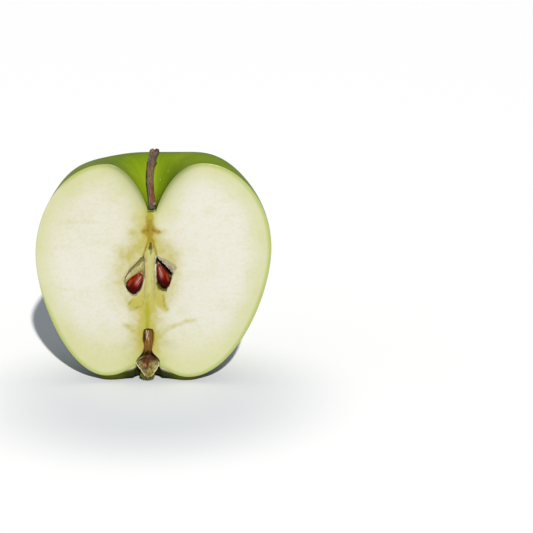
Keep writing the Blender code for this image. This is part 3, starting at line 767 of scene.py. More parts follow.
def skin_sheet(edge_round):
    """Points of the skin, rows up the fruit and columns round it, with the rounded cut edges.

    x = core + r cos, behind = r sin, and more in the throat. z = height less five lobes round the foot, never
    below the ground.
    On both sides of the calyx the basin is filled a little behind the cut, down to FILL_Z beside the calyx
    and to the ground further out. The first and last columns bend a quarter circle in to the cut.
    """
    count = round(math.pi / TURN_STEP)
    turn = np.arange(1, count) * TURN_STEP
    turn = np.concatenate([np.zeros(EDGE_STEPS), turn, np.full(EDGE_STEPS, math.pi)])
    radius, height, foot_r = outline(turn)
    wave = np.cos(LOBE_COUNT * (turn - LOBE_TURN))
    reach = np.exp(-(((radius - foot_r) / LOBE_SPREAD) ** 2))
    low = np.maximum(0.0, 1.0 - height / BACK["cheek_z"])
    z = np.maximum(0.0, height - LOBE_DEPTH * wave * reach * low**2)
    side = np.sin(turn)
    filled = ease(side, *FILL_TURN) * (1.0 - ease(side, *FILL_BACK_TURN) * ease(radius, *FILL_BACK_R))
    filled = filled * ease(radius, *FILL_INNER) * (low > 0.0)
    filled = filled * (1.0 - ease(radius, foot_r, foot_r + FILL_REACH))
    ground = FILL_Z * (1.0 - ease(radius, *FILL_GROUND)) * (low > 0.0)
    z = np.maximum(z - filled * np.maximum(0.0, z - ground), ground)
    deeper = THROAT_DEEPER * (1.0 - ease(height, THROAT_Z, THROAT_Z + THROAT_FADE))
    deeper = 1.0 + deeper * (radius < BACK["top_r"])
    deeper = np.where(height < BACK["cheek_z"], 1.0, deeper)
    x = core_x(height) + radius * np.cos(turn)
    behind = np.maximum(0.0, radius * np.sin(turn) * deeper)
    hollow = height[:, 0] > BACK["cheek_z"]
    grown = np.where(hollow, ease(radius[:, 0], *ROUND_TOP), ease(radius[:, 0], *ROUND_FOOT))
    rounding = edge_round * grown + ROUND_LEAST
    lean = np.linspace(0.0, math.pi / 2, EDGE_STEPS)
    for columns in (np.arange(EDGE_STEPS), len(turn) - 1 - np.arange(EDGE_STEPS)):
        edge_x = x[:, columns[0]]
        edge_z = z[:, columns[0]]
        up_x = np.gradient(edge_x)
        up_z = np.gradient(edge_z)
        size = np.hypot(up_x, up_z)
        towards = 1.0 if columns[0] == 0 else -1.0
        out_x = towards * up_z / size
        out_z = -towards * up_x / size
        inset = rounding[:, None] * (1.0 - np.sin(lean))
        x[:, columns] = edge_x[:, None] - out_x[:, None] * inset
        z[:, columns] = edge_z[:, None] - out_z[:, None] * inset
        behind[:, columns] = rounding[:, None] * (1.0 - np.cos(lean))
    return x, behind, z, turn


def tube_half(z):
    """Middle and half width of the calyx tube at each height."""
    keys = [station[0] for station in TUBE_STATIONS]
    middle = eased_table(z, keys, [station[1] for station in TUBE_STATIONS])
    half = eased_table(z, keys, [station[2] for station in TUBE_STATIONS])
    return middle, half


def tube_edge(x, z):
    """How far outside the calyx tube a point of the cut lies, less than 0 inside it."""
    middle, half = tube_half(z)
    return np.abs(x - middle) - half


def chamber_edge(x, z, loop):
    """How far outside a chamber's outline a point of the cut lies, less than 0 inside it."""
    far, _ = to_line(x, z, np.concatenate([loop, loop[:1]]))
    return np.where(inside(x, z, loop), -far, far)


def snapped(x, z, edge):
    """Moves the points nearest to an outline onto it, so that its edge is clean."""
    step = SLOPE_STEP
    here = edge(x, z)
    slope_x = (edge(x + step, z) - edge(x - step, z)) / (2.0 * step)
    slope_z = (edge(x, z + step) - edge(x, z - step)) / (2.0 * step)
    size = np.maximum(slope_x**2 + slope_z**2, 1e-6)
    move = np.where(np.abs(here) < SNAP_REACH, here, 0.0)
    return x - move * slope_x / size, z - move * slope_z / size


def cut_relief(x, z, depth):
    """How far behind the cut each point of it lies, and how much it belongs to the tube and chambers.

    The tube is half round: sqrt(w^2 - (x - m)^2). A chamber falls by a quarter ellipse inside its outline,
    wider on the core's side. The floor of the left one is an even ledge above a crest. The crest itself lies
    nearer to the cut, and the floor falls away below it. The torn lining beside the right chamber lies a
    little behind the cut, and a small hollow tops the core.
    """
    middle, half = tube_half(z)
    across = np.clip((x - middle) / np.maximum(half, 0.05), -1.0, 1.0)
    tube = np.maximum(half, 0.0) * np.sqrt(1.0 - across**2)
    fibre = 0.10 * np.sin(11.0 * across + 0.8 * z) * (z > 9.5) * (np.abs(across) < 0.9)
    tube = np.maximum(0.0, tube + np.where(tube > 0.3, fibre, 0.0))
    loops = {side: ragged(points) for side, points in CHAMBERS.items()}
    behind = tube.copy()
    masks = {"tube": (tube > 0.02) * ease(z, 7.4, 8.8)}
    near = (np.abs(x) < CHAMBER_X) & (z > CHAMBER_Z[0]) & (z < CHAMBER_Z[1])
    for side, loop in loops.items():
        far = np.full(x.shape, 9.0)
        far[near] = chamber_edge(x[near], z[near], loop)
        centre = loop.mean(0)
        angle = np.arctan2(z - centre[1], x - centre[0])
        rays = np.clip(0.35 + 0.9 * waves(9.0 * angle, 0.25 * far, 1.0, 5), 0.0, 1.0)
        rays = rays * np.exp(-np.maximum(far, 0.0) / 0.8) * (far > -0.05)
        masks["rays"] = np.maximum(masks.get("rays", 0.0), rays)
        towards = ease(-x, -3.6, -2.3) if side == "right" else ease(x, -3.6, -1.6)
        width = CHAMBER_EDGE[side] + 0.9 * towards
        fall = np.sqrt(np.clip(1.0 - np.clip(1.0 + far / width, 0.0, 1.0) ** 2, 0.0, 1.0))
        floor = np.full(x.shape, depth)
        if side == "left":
            crest, _ = to_line(x, z, CREST)
            above = (z - CREST_POINT[1]) * CREST_UP[1] + (x - CREST_POINT[0]) * CREST_UP[0] > 0.0
            signed = np.where(above, crest, -crest)
            floor = LEDGE_DEPTH - CREST_RISE * (1.0 - ease(signed, -0.1, 0.25)) + 0.12 * waves(x, z, 1.0, 9)
            floor += CREST_FALL * (1.0 - ease(signed, -3.2, -0.9))
            floor = np.minimum(floor, depth)
            # The ledge above the crest, which the material darkens as painted shade
            masks["band"] = ease(signed, -0.05, 0.15) * (far < 0.02)
        behind = np.maximum(behind, floor * fall)
        masks[side] = (far < 0.01).astype(float)
        masks[f"{side}_edge"] = np.exp(-((far / 0.30) ** 2))
    flap = np.full(x.shape, 9.0)
    loop = ragged(FLAP)
    flap[near] = chamber_edge(x[near], z[near], loop) + 0.10 * waves(x[near], z[near], 0.9, 4)
    masks["torn"] = 1.0 - ease(flap, -0.12, 0.12)
    torn = (FLAP_DEPTH + 0.10 * waves(x, z, 1.1, 2)) * (1.0 - ease(flap, -0.25, 0.10))
    behind = np.maximum(behind, torn)
    hollow, _ = to_line(x, z, HOLLOW_LINE)
    behind = np.maximum(behind, HOLLOW_DEPTH * (1.0 - ease(hollow, 0.12, 0.55)))
    wall = np.clip((x - middle) / np.maximum(half, 0.3), -1.2, 1.2)
    left_wall = np.exp(-(((wall + 0.72) / 0.42) ** 2)) * ease(z, 12.5, 15.0)
    # The arch is painted shade in the cavity over the calyx; left_wall and right_wall darken the tube's walls
    arch = np.exp(-(((z - 9.7 + 0.35 * np.abs(x + 0.6)) / 1.35) ** 2))
    right_wall = 0.25 * np.exp(-(((wall - 0.75) / 0.25) ** 2)) * ease(z, 15.5, 17.5)
    masks["tube_dark"] = np.clip(np.maximum(np.maximum(left_wall, arch), right_wall), 0.0, 1.0)
    masks["hug"] = np.exp(-np.maximum(tube_edge(x, z), 0.0) / 0.55)
    masks["hug"] = masks["hug"] * ease(z, 8.5, 11.5) * (1.0 - ease(z, 18.4, 19.6))
    masks["fibre"] = 0.5 + 0.5 * waves(7.0 * wall + 0.3 * np.sin(0.9 * z), 0.35 * z, 1.6, 6)
    # Painted highlight down the tube's wall
    shine, _ = to_line(x, z, SHINE_LINE)
    masks["shine"] = np.exp(-(((shine + 0.16 * waves(3.0 * x, z, 1.4, 2)) / 0.34) ** 2)) * (tube > 0.2)
    masks["shine"] = masks["shine"] * ease(masks["fibre"], 0.30, 0.50)
    return behind, masks


def waves(x, z, size, seed):
    """A smooth, uneven number between about -1 and 1: the mean of nine sine waves of mixed lengths.

    Wave k runs at the golden angle times k, and is up to a third longer or shorter than the given size.
    """
    value = np.zeros(np.shape(x))
    for number in range(9):
        angle = 2.39996 * (number + seed)
        span = size * (0.68 + 0.64 * ((number * 0.618 + seed * 0.37) % 1.0))
        run = (x * math.cos(angle) + z * math.sin(angle)) * 2.0 * math.pi / span
        value = value + np.sin(run + number**2 + seed)
    return value / 4.2


def drawn(x, z, kind):
    """Strength of one kind of mark: 1 less the product of 1 - s exp(-(d / w)^2) over its lines.

    The points are first shifted by uneven waves, less for narrow lines than for wide ones.
    """
    bare = np.ones(x.shape)
    for number, (mark, strength, start, end, line) in enumerate(MARKS):
        if mark != kind:
            continue
        sway = min(0.55, 0.09 + 0.14 * max(start, end))
        size = 2.2 + 1.6 * max(start, end)
        shift_x = sway * waves(x, z, size, number) + 0.08 * waves(x, z, 0.8, number + 3)
        shift_z = sway * waves(x, z, size, number + 7) + 0.08 * waves(x, z, 0.8, number + 5)
        far, along = to_line(x + shift_x, z + shift_z, line)
        width = start + along * (end - start)
        uneven = 1.0 + 0.22 * waves(x, z, 1.3 + size / 3.0, number + 11)
        bare = bare * (1.0 - np.clip(strength * uneven, 0.0, 1.0) * np.exp(-((far / width) ** 2)))
    return 1.0 - bare


def sheet_faces(index):
    """Corner numbers of the faces of a grid of points. Where two corners are one point, a triangle."""
    corners = np.stack([index[:-1, :-1], index[1:, :-1], index[1:, 1:], index[:-1, 1:]], -1).reshape(-1, 4)
    return [list(dict.fromkeys(face)) for face in corners.tolist() if len(set(face)) > 2]


def piece(name, points, faces, material_of_face, materials, masks, crease=None):
    """A mesh object with the numbers that its material reads, facing outwards."""
    mesh = bpy.data.meshes.new(name)
    mesh.from_pydata(points, [], faces)
    mesh.polygons.foreach_set("material_index", np.array(material_of_face, np.int32))
    for key, values in masks.items():
        kind = "FLOAT_VECTOR" if values.ndim == 2 else "FLOAT"
        layer = mesh.attributes.new(key, kind, "POINT")
        layer.data.foreach_set("vector" if values.ndim == 2 else "value", values.astype(np.float32).ravel())
    shape = bmesh.new()
    shape.from_mesh(mesh)
    bmesh.ops.recalc_face_normals(shape, faces=shape.faces)
    shape.to_mesh(mesh)
    shape.free()
    mesh.shade_smooth()
    if crease:
        mesh.set_sharp_from_angle(angle=crease)
    for item in materials:
        mesh.materials.append(item)
    made = bpy.data.objects.new(name, mesh)
    bpy.context.scene.collection.objects.link(made)
    return made


def flesh_values(all_x, all_z, cut, sheet, skin):
    """Numbers that the materials of the flesh and the skin read, for every point.

    Rim is the distance to the outline of the cut. Dull, low and mouth are strong beside the stalk hollow,
    near the ground and round the calyx. Along holds the turn, as a cosine and a sine, and the way up the skin
    from 0 to 4. Lip is exp(-(d / w)^2) of how far the skin lies below the cut's edge beside the calyx.
    """
    x, behind, z, turn = sheet
    number = all_x.size
    outline_x = np.concatenate([x[:, 0], x[::-1, -1]])
    outline_z = np.concatenate([z[:, 0], z[::-1, -1]])
    rim = np.zeros(number)
    on_cut = np.flatnonzero(cut)
    rim[on_cut], _ = to_line(all_x[on_cut], all_z[on_cut], np.stack([outline_x, outline_z], -1))
    rim += RIM_PALER * ease(-all_x, 24.0, 32.0) * ease(all_z, 22.0, 40.0)
    rim = np.minimum(rim, 20.0)
    values = {"rim": rim}
    for kind in KINDS:
        values[kind] = np.zeros(number)
        values[kind][on_cut] = drawn(all_x[on_cut], all_z[on_cut], kind)
    beside = ease(all_z, 58.0, 64.0) * (1.0 - ease(np.abs(all_x - LEAN_TOP[0]), 9.0, 18.0))
    values["dull"] = beside * np.exp(-rim / 1.5)
    values["low"] = 1.0 - ease(all_z, 6.0, 24.0)
    mouth = np.hypot((all_x - CALYX_X) / 1.25, all_z - 6.0)
    values["mouth"] = np.exp(-np.maximum(mouth - 3.2, 0.0) / 1.1) * (all_z < 12.0)
    values["along"] = np.zeros((number, 3))
    values["along"][skin, 0] = np.cos(turn)[None]
    values["along"][skin, 1] = np.sin(turn)[None]
    values["along"][skin, 2] = np.linspace(0.0, 4.0, len(x))[:, None]
    drop = np.where(turn < math.pi / 2, z[:, :1], z[:, -1:]) - z
    # Skin where the material paints the down brighter as painted light
    lip = np.exp(-((drop / 0.85) ** 2)) * (1.0 - ease(np.abs(x - CALYX_X), 4.5, 9.5)) * (z < 9.0)
    values["lip"] = np.zeros(number)
    values["lip"][skin] = lip * (behind < 2.0)
    return values


def flesh_points(settings):
    """All points, faces and numbers of the half fruit: skin, cut, and the floor of the stalk's throat.

    The cut is a sheet of spokes from the core to the outline: C + t (B - C), with t = a u + (1 - a) u^3.
    Sheets meet without a gap, because same gives each point the number of the one that stands for it.
    """
    x, behind, z, turn = skin_sheet(settings.edge_round * 1000.0)
    rows, columns = x.shape
    last = columns - 1
    u = np.arange(CUT_STEPS + 1) / CUT_STEPS
    t = CUT_EVEN * u + (1.0 - CUT_EVEN) * u**3
    centre_z = np.linspace(*CENTRE_Z, rows)
    centre_x = core_x(centre_z)

    def spokes(from_x, from_z, to_x, to_z):
        """Points along the lines from one row of points to another."""
        return (
            from_x[:, None] + t[None] * (to_x - from_x)[:, None],
            from_z[:, None] + t[None] * (to_z - from_z)[:, None],
        )

    number = 0

    def fresh(*shape):
        """The next free numbers of points, as a grid."""
        nonlocal number
        made = np.arange(number, number + int(np.prod(shape))).reshape(shape)
        number += made.size
        return made

    skin = fresh(rows, columns)
    right = fresh(rows, CUT_STEPS + 1)
    left = fresh(rows, CUT_STEPS + 1)
    low = fresh(columns, CUT_STEPS + 1)
    high = fresh(columns, CUT_STEPS + 1)
    floor = fresh(columns, THROAT_STEPS + 1)
    ring_x = x[-1]
    ring_z = z[-1]
    line_z = np.full(columns, ring_z[0]) - 0.25 * np.sin(math.pi * np.arange(columns) / last) ** 0.5
    line_z[0] = ring_z[0]
    line_z[-1] = ring_z[-1]
    sheets = [
        (right, *spokes(centre_x, centre_z, x[:, 0], z[:, 0])),
        (left, *spokes(centre_x, centre_z, x[:, last], z[:, last])),
        (low, *spokes(np.full(columns, centre_x[0]), np.full(columns, centre_z[0]), x[0], z[0])),
        (high, *spokes(np.full(columns, centre_x[-1]), np.full(columns, centre_z[-1]), ring_x, line_z)),
    ]
    all_x = np.zeros(number)
    all_z = np.zeros(number)
    all_behind = np.zeros(number)
    for index, sheet_x, sheet_z in sheets:
        all_x[index] = sheet_x
        all_z[index] = sheet_z
    same = np.arange(number)
    same[right[:, 0]] = left[:, 0]
    same[low[:, 0]] = left[0, 0]
    same[high[:, 0]] = left[-1, 0]
    same[right[:, -1]] = skin[:, 0]
    same[left[:, -1]] = skin[:, last]
    same[low[0]] = same[right[0]]
    same[low[-1]] = same[left[0]]
    same[high[0]] = same[right[-1]]
    same[high[-1]] = same[left[-1]]
    same[low[:, -1]] = skin[0]
    same[floor[:, 0]] = skin[-1]
    same[floor[:, -1]] = same[high[:, -1]]
    same[floor[0]] = skin[-1, 0]
    same[floor[-1]] = skin[-1, last]

    cut = np.zeros(number, bool)
    for index in (right, left, low, high):
        cut[index[:, :-1]] = True
    cut[high[:, -1]] = True
    free = cut & (same == np.arange(number))
    loops = [ragged(points) for points in CHAMBERS.values()]
    regions = [(tube_edge, *TUBE_Z)]
    regions += [(lambda a, b, loop=loop: chamber_edge(a, b, loop), *CHAMBER_Z) for loop in loops]
    rim_line = all_x[high[:, -1]], all_z[high[:, -1]]
    for edge, lowest, highest in regions:
        near = free & (np.abs(all_x) < SNAP_X) & (all_z > lowest) & (all_z < highest)
        all_x[near], all_z[near] = snapped(all_x[near], all_z[near], edge)
    all_x[high[:, -1]], all_z[high[:, -1]] = rim_line
    relief, masks = cut_relief(all_x, all_z, settings.chamber_depth * 1000.0)
    all_behind[cut] = relief[cut]
    all_behind[high[:, -1]] = 0.0
    all_x[skin] = x
    all_z[skin] = z
    all_behind[skin] = behind
    share = np.arange(THROAT_STEPS + 1) / THROAT_STEPS
    all_x[floor] = ring_x[:, None]
    all_z[floor] = ring_z[:, None] + share**0.6 * (line_z - ring_z)[:, None]
    all_behind[floor] = behind[-1][:, None] * (1.0 - share)

    values = flesh_values(all_x, all_z, cut, (x, behind, z, turn), skin)
    for key, mask in masks.items():
        values[key] = mask * cut

    faces = []
    finish = []
    for index, slot in ((skin, 0), (right, 1), (left, 1), (low, 1), (high, 1), (floor, 1)):
        made = sheet_faces(same[index])
        faces += made
        finish += [slot] * len(made)
    edge_faces = set(range(EDGE_STEPS - 1)) | set(range(last - EDGE_STEPS + 1, last))
    skin_faces = (rows - 1) * last
    finish = np.array(finish)
    place = np.arange(skin_faces) % last
    finish[:skin_faces] = np.where(np.isin(place, list(edge_faces)), 1, 0)
    used = np.unique(np.concatenate([np.array(face) for face in faces]))
    renumber = np.full(number, -1)
    renumber[used] = np.arange(len(used))
    faces = [renumber[face].tolist() for face in faces]
    points = metres(all_x[used], all_behind[used], all_z[used])
    return points, faces, finish, {key: value[used] for key, value in values.items()}


def skin_finish(settings):
    """Waxy green skin: patches and streaks up the fruit, deeper in the hollow, small pale dots, painted shade
    on the underside, in the basin and in the throat, and down made brighter as painted light.
    """
    paint = Paint("waxy_skin", 0.30, Specular_IOR_Level=0.08)
    place = paint.place()
    along = paint.vector("along")
    streaks = paint.noise(paint.stretched(along, (14.0, 14.0, 0.35)), 1.6, 3.0, 0.6)
    patches = paint.noise(place, 38.0, 2.0)
    spots = paint.noise(place, 150.0, 3.0, 0.6)
    fine = paint.noise(place, 900.0, 3.0)
    height = paint.node("ShaderNodeSeparateXYZ", {}, {0: along})
    up = Number(paint, height.outputs["Z"])
    base = paint.mix(settings.skin, settings.skin_pale, patches.between(0.42, 0.68) * 0.7)
    base = paint.mix(base, settings.skin_pale, spots.between(0.48, 0.70) * 0.5)
    depth = 0.25 + up.between(2.8, 3.2) * 0.35
    base = paint.mix(base, settings.skin_deep, streaks.between(0.45, 0.70) * depth)
    right = Number(paint, height.outputs["X"]).between(-0.1, 0.5)
    hollow = up.between(2.9, 3.4)
    base = paint.mix(base, settings.skin_deep, hollow * right * 0.55)
    base = paint.mix(base, settings.skin_pale, hollow * (1.0 - right) * 0.40)
    # Painted shade: darker skin on the underside, in the calyx basin and in the throat of the stalk hollow
    base = paint.mix(base, settings.skin_shade, (1.0 - up.between(0.60, 1.10)) * 0.93)
    base = paint.mix(base, settings.skin_basin_shade, 1.0 - up.between(0.12, 0.34))
    base = paint.mix(base, settings.skin_shade, up.between(3.75, 3.98) * 0.7)
    # Pale down beside the calyx, brighter than its own colour as painted light
    base = paint.mix(base, settings.down, (paint.mask("lip") * (0.7 + spots)).between(0.0, 1.0))
    base = paint.mix(base, settings.skin_pale, fine.between(0.55, 0.8) * 0.15)
    far, chance = paint.cells(place, 330.0)
    dots = (1.0 - far.between(0.05, 0.12)) * chance.between(0.45, 0.6)
    base = paint.mix(base, settings.lenticel, dots * 0.38)
    paint.bump(fine * 0.5 + dots * 0.6 + streaks * 0.5, 0.00006, 0.6)
    rough = 0.34 + fine * 0.12 + (1.0 - up.between(0.9, 1.6)) * 0.35
    return paint.finish(Base_Color=base, Roughness=rough)


def flesh_finish(settings):
    """Moist flesh, greener towards the skin, with the tinted strands and stains round the core, painted shade
    in its recesses and gaps, and painted highlights in the tube, beside the right seed and on the chambers'
    edges.
    """
    paint = Paint(
        "moist_flesh", 0.42, Subsurface_Weight=0.08, Subsurface_Scale=0.0012, Specular_IOR_Level=0.16
    )
    place = paint.place()
    rim = paint.mask("rim")
    grain = paint.noise(place, 1500.0, 3.0)
    cloud = paint.noise(place, 110.0, 3.0)
    drift = paint.noise(place, 520.0, 3.0, 0.6)
    flow = paint.noise(paint.stretched(place, (0.30, 1.0, 1.0)), 1100.0, 3.0)
    speck = paint.noise(place, 880.0, 2.0, 0.7)
    uneven = 0.40 + drift * 1.20
    strands = paint.noise(paint.stretched(place, (1.0, 1.0, 0.22)), 2100.0, 3.0, 0.7)
    strands = uneven * (0.55 + strands * 0.95)
    outer = (1.0 - rim.between(0.0, 10.5)) * (0.50 + cloud * 0.55)
    base = paint.mix(settings.flesh, settings.flesh_outer, outer)
    base = paint.mix(base, settings.flesh_low, paint.mask("low") * 0.75)
    uneven_share = cloud.between(0.50, 0.75) * 0.26 + flow.between(0.46, 0.66) * 0.12
    uneven_share = uneven_share + speck.between(0.46, 0.66) * 0.17
    base = paint.mix(base, settings.flesh_outer, uneven_share)
    base = paint.mix(base, settings.warm, (paint.mask("warm") * uneven * 1.12).between(-0.12, 1.0))
    base = paint.mix(base, settings.edge, (1.0 - rim.between(0.1, 1.5)) * 0.72)
    base = paint.mix(base, settings.edge, paint.mask("mouth") * 0.65)
    base = paint.mix(base, settings.edge_dull, paint.mask("dull") * 0.95)
    base = paint.mix(base, settings.column, paint.mask("column"))
    base = paint.mix(base, settings.paper, paint.mask("rays") * drift * 0.5)
    walls = paint.mask("left") + paint.mask("right")
    base = paint.mix(base, settings.wall, walls * 0.9)
    # Painted shade on the left chamber's ledge, below its upper rim
    base = paint.mix(base, settings.moss, paint.mask("band") * 0.58)
    base = paint.mix(base, settings.flap, paint.mask("torn") * (0.55 + drift * 0.75) + paint.mask("flap"))
    # A pale fringe round the chambers: partly their own ochre and papery colour, partly painted light that
    # lifts their shaded edges, most of all on the left chamber's edge
    edges = (paint.mask("left_edge") + paint.mask("right_edge")) * (0.4 + drift)
    base = paint.mix(base, settings.warm, edges.between(0.1, 0.8) * 0.45)
    base = paint.mix(base, settings.paper, edges.between(0.35, 0.85) * drift.between(0.44, 0.58) * 0.5)
    base = paint.mix(base, settings.paper, paint.mask("left_edge") * drift.between(0.30, 0.60) * 0.55)
    base = paint.mix(base, settings.ochre, paint.mask("hug") * (0.15 + drift * 0.8))
    # Marked strands and stains; the dark kind and part of the olive one are painted shade, and one paper line
    # is a painted highlight
    for name in ("grey", "ochre", "green", "brown", "moss", "dark", "paper"):
        base = paint.mix(base, getattr(settings, name), (paint.mask(name) * strands).between(0.0, 0.92))
    # Darker tube walls, and painted shade in the arch over the calyx
    tube = paint.mix(settings.tube, settings.tube_dark, paint.mask("tube_dark") * (0.75 + drift * 0.5))
    tube = paint.mix(tube, settings.ochre, paint.mask("fibre").between(0.55, 0.95) * 0.55)
    tube = paint.mix(tube, settings.tube_dark, (1.0 - paint.mask("fibre").between(0.05, 0.40)) * 0.5)
    # Painted highlight on the tube's wall, in the paper colour
    tube = paint.mix(tube, settings.paper, paint.mask("shine"))
    base = paint.mix(base, tube, paint.mask("tube"))
    paint.bump(grain * 0.6 + drift * 0.6 + flow * 0.3, 0.00008, 0.5)
    rough = (0.40 + grain * 0.18) * (0.40 + rim.between(0.15, 0.60) * 0.60)
    return paint.finish(Base_Color=base, Roughness=rough)


class FRUIT_OT_flesh(bpy.types.Operator):
    """Builds the half fruit: skin, cut face, seed chambers, calyx tube and stalk hollow"""

    bl_idname = "fruit.flesh"
    bl_label = "Flesh and skin"

    def execute(self, context):
        settings = context.scene.fruit_flesh
        points, faces, finish, values = flesh_points(settings)
        materials = [skin_finish(settings), flesh_finish(settings)]
        made = piece("flesh_and_skin", points, faces, finish, materials, values, crease=CREASE_ANGLE)
        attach(made, "root")
        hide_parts("apple_flesh")
        return {"FINISHED"}


def tube_of_rings(rings, sides):
    """Faces of rings of points, closed with a fan at each end. Rings come first, then the two end points."""
    index = np.arange(rings * sides).reshape(rings, sides)
    index = np.concatenate([index, index[:, :1]], 1)
    foot = np.full((1, sides + 1), rings * sides)
    tip = np.full((1, sides + 1), rings * sides + 1)
    return sheet_faces(np.concatenate([foot, index, tip]))


def with_ends(values, foot, tip):
    """Numbers of rings of points, followed by those of the two end points."""
    return np.concatenate([values.ravel(), [foot, tip]])


def stalk_points(ridge):
    """Rings round the stalk's line. Radius: r plus ridges and cracks, with two knobs at the tip."""
    stations = np.array(STALK_STATIONS)
    keys = np.linspace(0.0, 1.0, len(stations))
    share = np.linspace(0.0, 1.0, STALK_RINGS)
    line = np.stack([eased_table(share, keys, stations[:, axis]) for axis in range(3)], -1)
    radius = eased_table(share, keys, stations[:, 3])
    turn = np.linspace(0.0, 2.0 * math.pi, STALK_SIDES, endpoint=False)
    s = share[:, None]
    a = turn[None]
    wander = 0.5 * np.sin(9.0 * s + 1.0) + 0.3 * np.sin(23.0 * s)
    ridges = np.sin(7.0 * a + 3.0 * wander) + 0.6 * np.sin(11.0 * a - 2.0 * wander + 2.0)
    ridges += 0.5 * np.sin(4.0 * a + 31.0 * s) * np.sin(40.0 * s)
    rough = 0.6 * np.sin(3.0 * a + 60.0 * s) * np.sin(17.0 * s + 2.0 * a)
    swell = ridge * (ridges + rough * (0.5 + 1.2 * np.exp(-(((s - 0.07) / 0.08) ** 2))))
    tip = ease(s, 0.86, 1.0)
    flat = 1.0 - 0.22 * tip * np.sin(a) ** 2
    notch = 1.0 - 0.16 * tip * np.exp(-((np.cos(a) / 0.28) ** 2))
    size = radius[:, None] * flat * notch + swell
    bulb = 0.62 * np.exp(-(((s - 0.135) / 0.040) ** 2)) * np.exp(-(((a - 5.85) / 0.55) ** 2))
    size = size + bulb
    knob = np.concatenate([(bulb / bulb.max()).ravel(), np.zeros(CROWN_RINGS * STALK_SIDES + 2)])
    x = line[:, 0:1] + size * np.cos(a)
    behind = line[:, 1:2] + size * np.sin(a)
    z = line[:, 2:3] + 0.0 * a
    rounds = np.linspace(0.0, 1.0, CROWN_RINGS + 2)[1:-1][:, None]
    top = size[-1][None] * np.cos(rounds * math.pi / 2)
    lobes = 0.85 * np.sin(rounds * math.pi / 2)
    crown_x = line[-1, 0] + top * np.cos(a)
    crown_behind = line[-1, 1] + top * np.sin(a)
    middle = np.exp(-(((crown_x - line[-1, 0]) / 0.42) ** 2))
    crown_z = line[-1, 2] + lobes * (1.0 - 0.62 * middle) + 0.10 * np.sin(5.0 * a + 2.0) * rounds
    x = np.concatenate([x, crown_x])
    behind = np.concatenate([behind, crown_behind])
    z = np.concatenate([z, crown_z])
    ends = np.array([line[0], line[-1] + [0.0, 0.0, 0.30]])
    points = np.concatenate([metres(x, behind, z).reshape(-1, 3), metres(*ends.T)])
    up = np.concatenate([share, np.ones(CROWN_RINGS)])[:, None] + 0.0 * a
    values = {
        "knob": knob,
        "up": with_ends(up, 0.0, 1.0),
        "side": with_ends(np.cos(a) + 0.0 * up, 0.0, 0.0),
        "crack": np.concatenate([ridges.ravel(), np.zeros(CROWN_RINGS * STALK_SIDES + 2)]),
    }
    return points, tube_of_rings(len(x), STALK_SIDES), values


def stalk_finish(settings):
    """Dry bark: grey-brown, a warm stripe, a reddish lower flank, dark cracks and foot, warm tip."""
    paint = Paint("dry_bark", 0.72, Specular_IOR_Level=0.25)
    place = paint.place()
    up = paint.mask("up")
    side = paint.mask("side")
    crack = paint.mask("crack")
    fibre = paint.noise(paint.stretched(place, (1.0, 1.0, 0.16)), 2600.0, 4.0, 0.65)
    blotch = paint.noise(place, 700.0, 3.0)
    base = paint.mix(settings.bark, settings.bark_dark, blotch.between(0.46, 0.68) * 0.75)
    warm = fibre.between(0.46, 0.62) * (1.0 - up.between(0.60, 0.85)) * 0.85
    base = paint.mix(base, settings.bark_warm, warm)
    pale = (1.0 - side.between(-0.85, -0.45)) * fibre.between(0.35, 0.6) * 0.7
    base = paint.mix(base, settings.bark_pale, pale)
    low = (1.0 - up.between(0.40, 0.48)) * up.between(0.14, 0.20)
    base = paint.mix(base, settings.bark_red, low * side.between(-0.35, 0.15) * (0.6 + fibre * 0.7))
    base = paint.mix(base, settings.bark_dark, (1.0 - up.between(0.06, 0.17)) * 0.65)
    fleck = paint.noise(place, 3400.0, 2.0, 0.7)
    base = paint.mix(base, settings.bark_dark, (1.0 - crack.between(-1.6, -0.4)) * 0.6)
    base = paint.mix(base, settings.bark_dark, (1.0 - fleck.between(0.34, 0.48)) * 0.75)
    base = paint.mix(base, settings.bark_pale, fleck.between(0.56, 0.68) * 0.7)
    base = paint.mix(base, settings.bark_dark, up.between(0.90, 0.98) * side.between(-0.3, 0.3) * 0.6)
    base = paint.mix(base, settings.bark_warm, up.between(0.985, 1.0) * (1.0 - side.between(-0.4, 0.2)) * 0.8)
    base = paint.mix(base, settings.bark_pale, paint.mask("knob") * (0.5 + blotch * 0.8))
    paint.bump(fibre + blotch * 0.5, 0.0001, 0.8)
    return paint.finish(Base_Color=base, Roughness=0.62 + fibre * 0.25)


class FRUIT_OT_stalk(bpy.types.Operator):
    """Builds the stalk with its bark, swollen foot and two knobs"""

    bl_idname = "fruit.stalk"
    bl_label = "Stalk"

    def execute(self, context):
        settings = context.scene.fruit_stalk
        points, faces, values = stalk_points(settings.ridge * 1000.0)
        made = piece("stalk", points, faces, [0] * len(faces), [stalk_finish(settings)], values)
        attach(made, "root")
        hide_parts("stem")
        return {"FINISHED"}


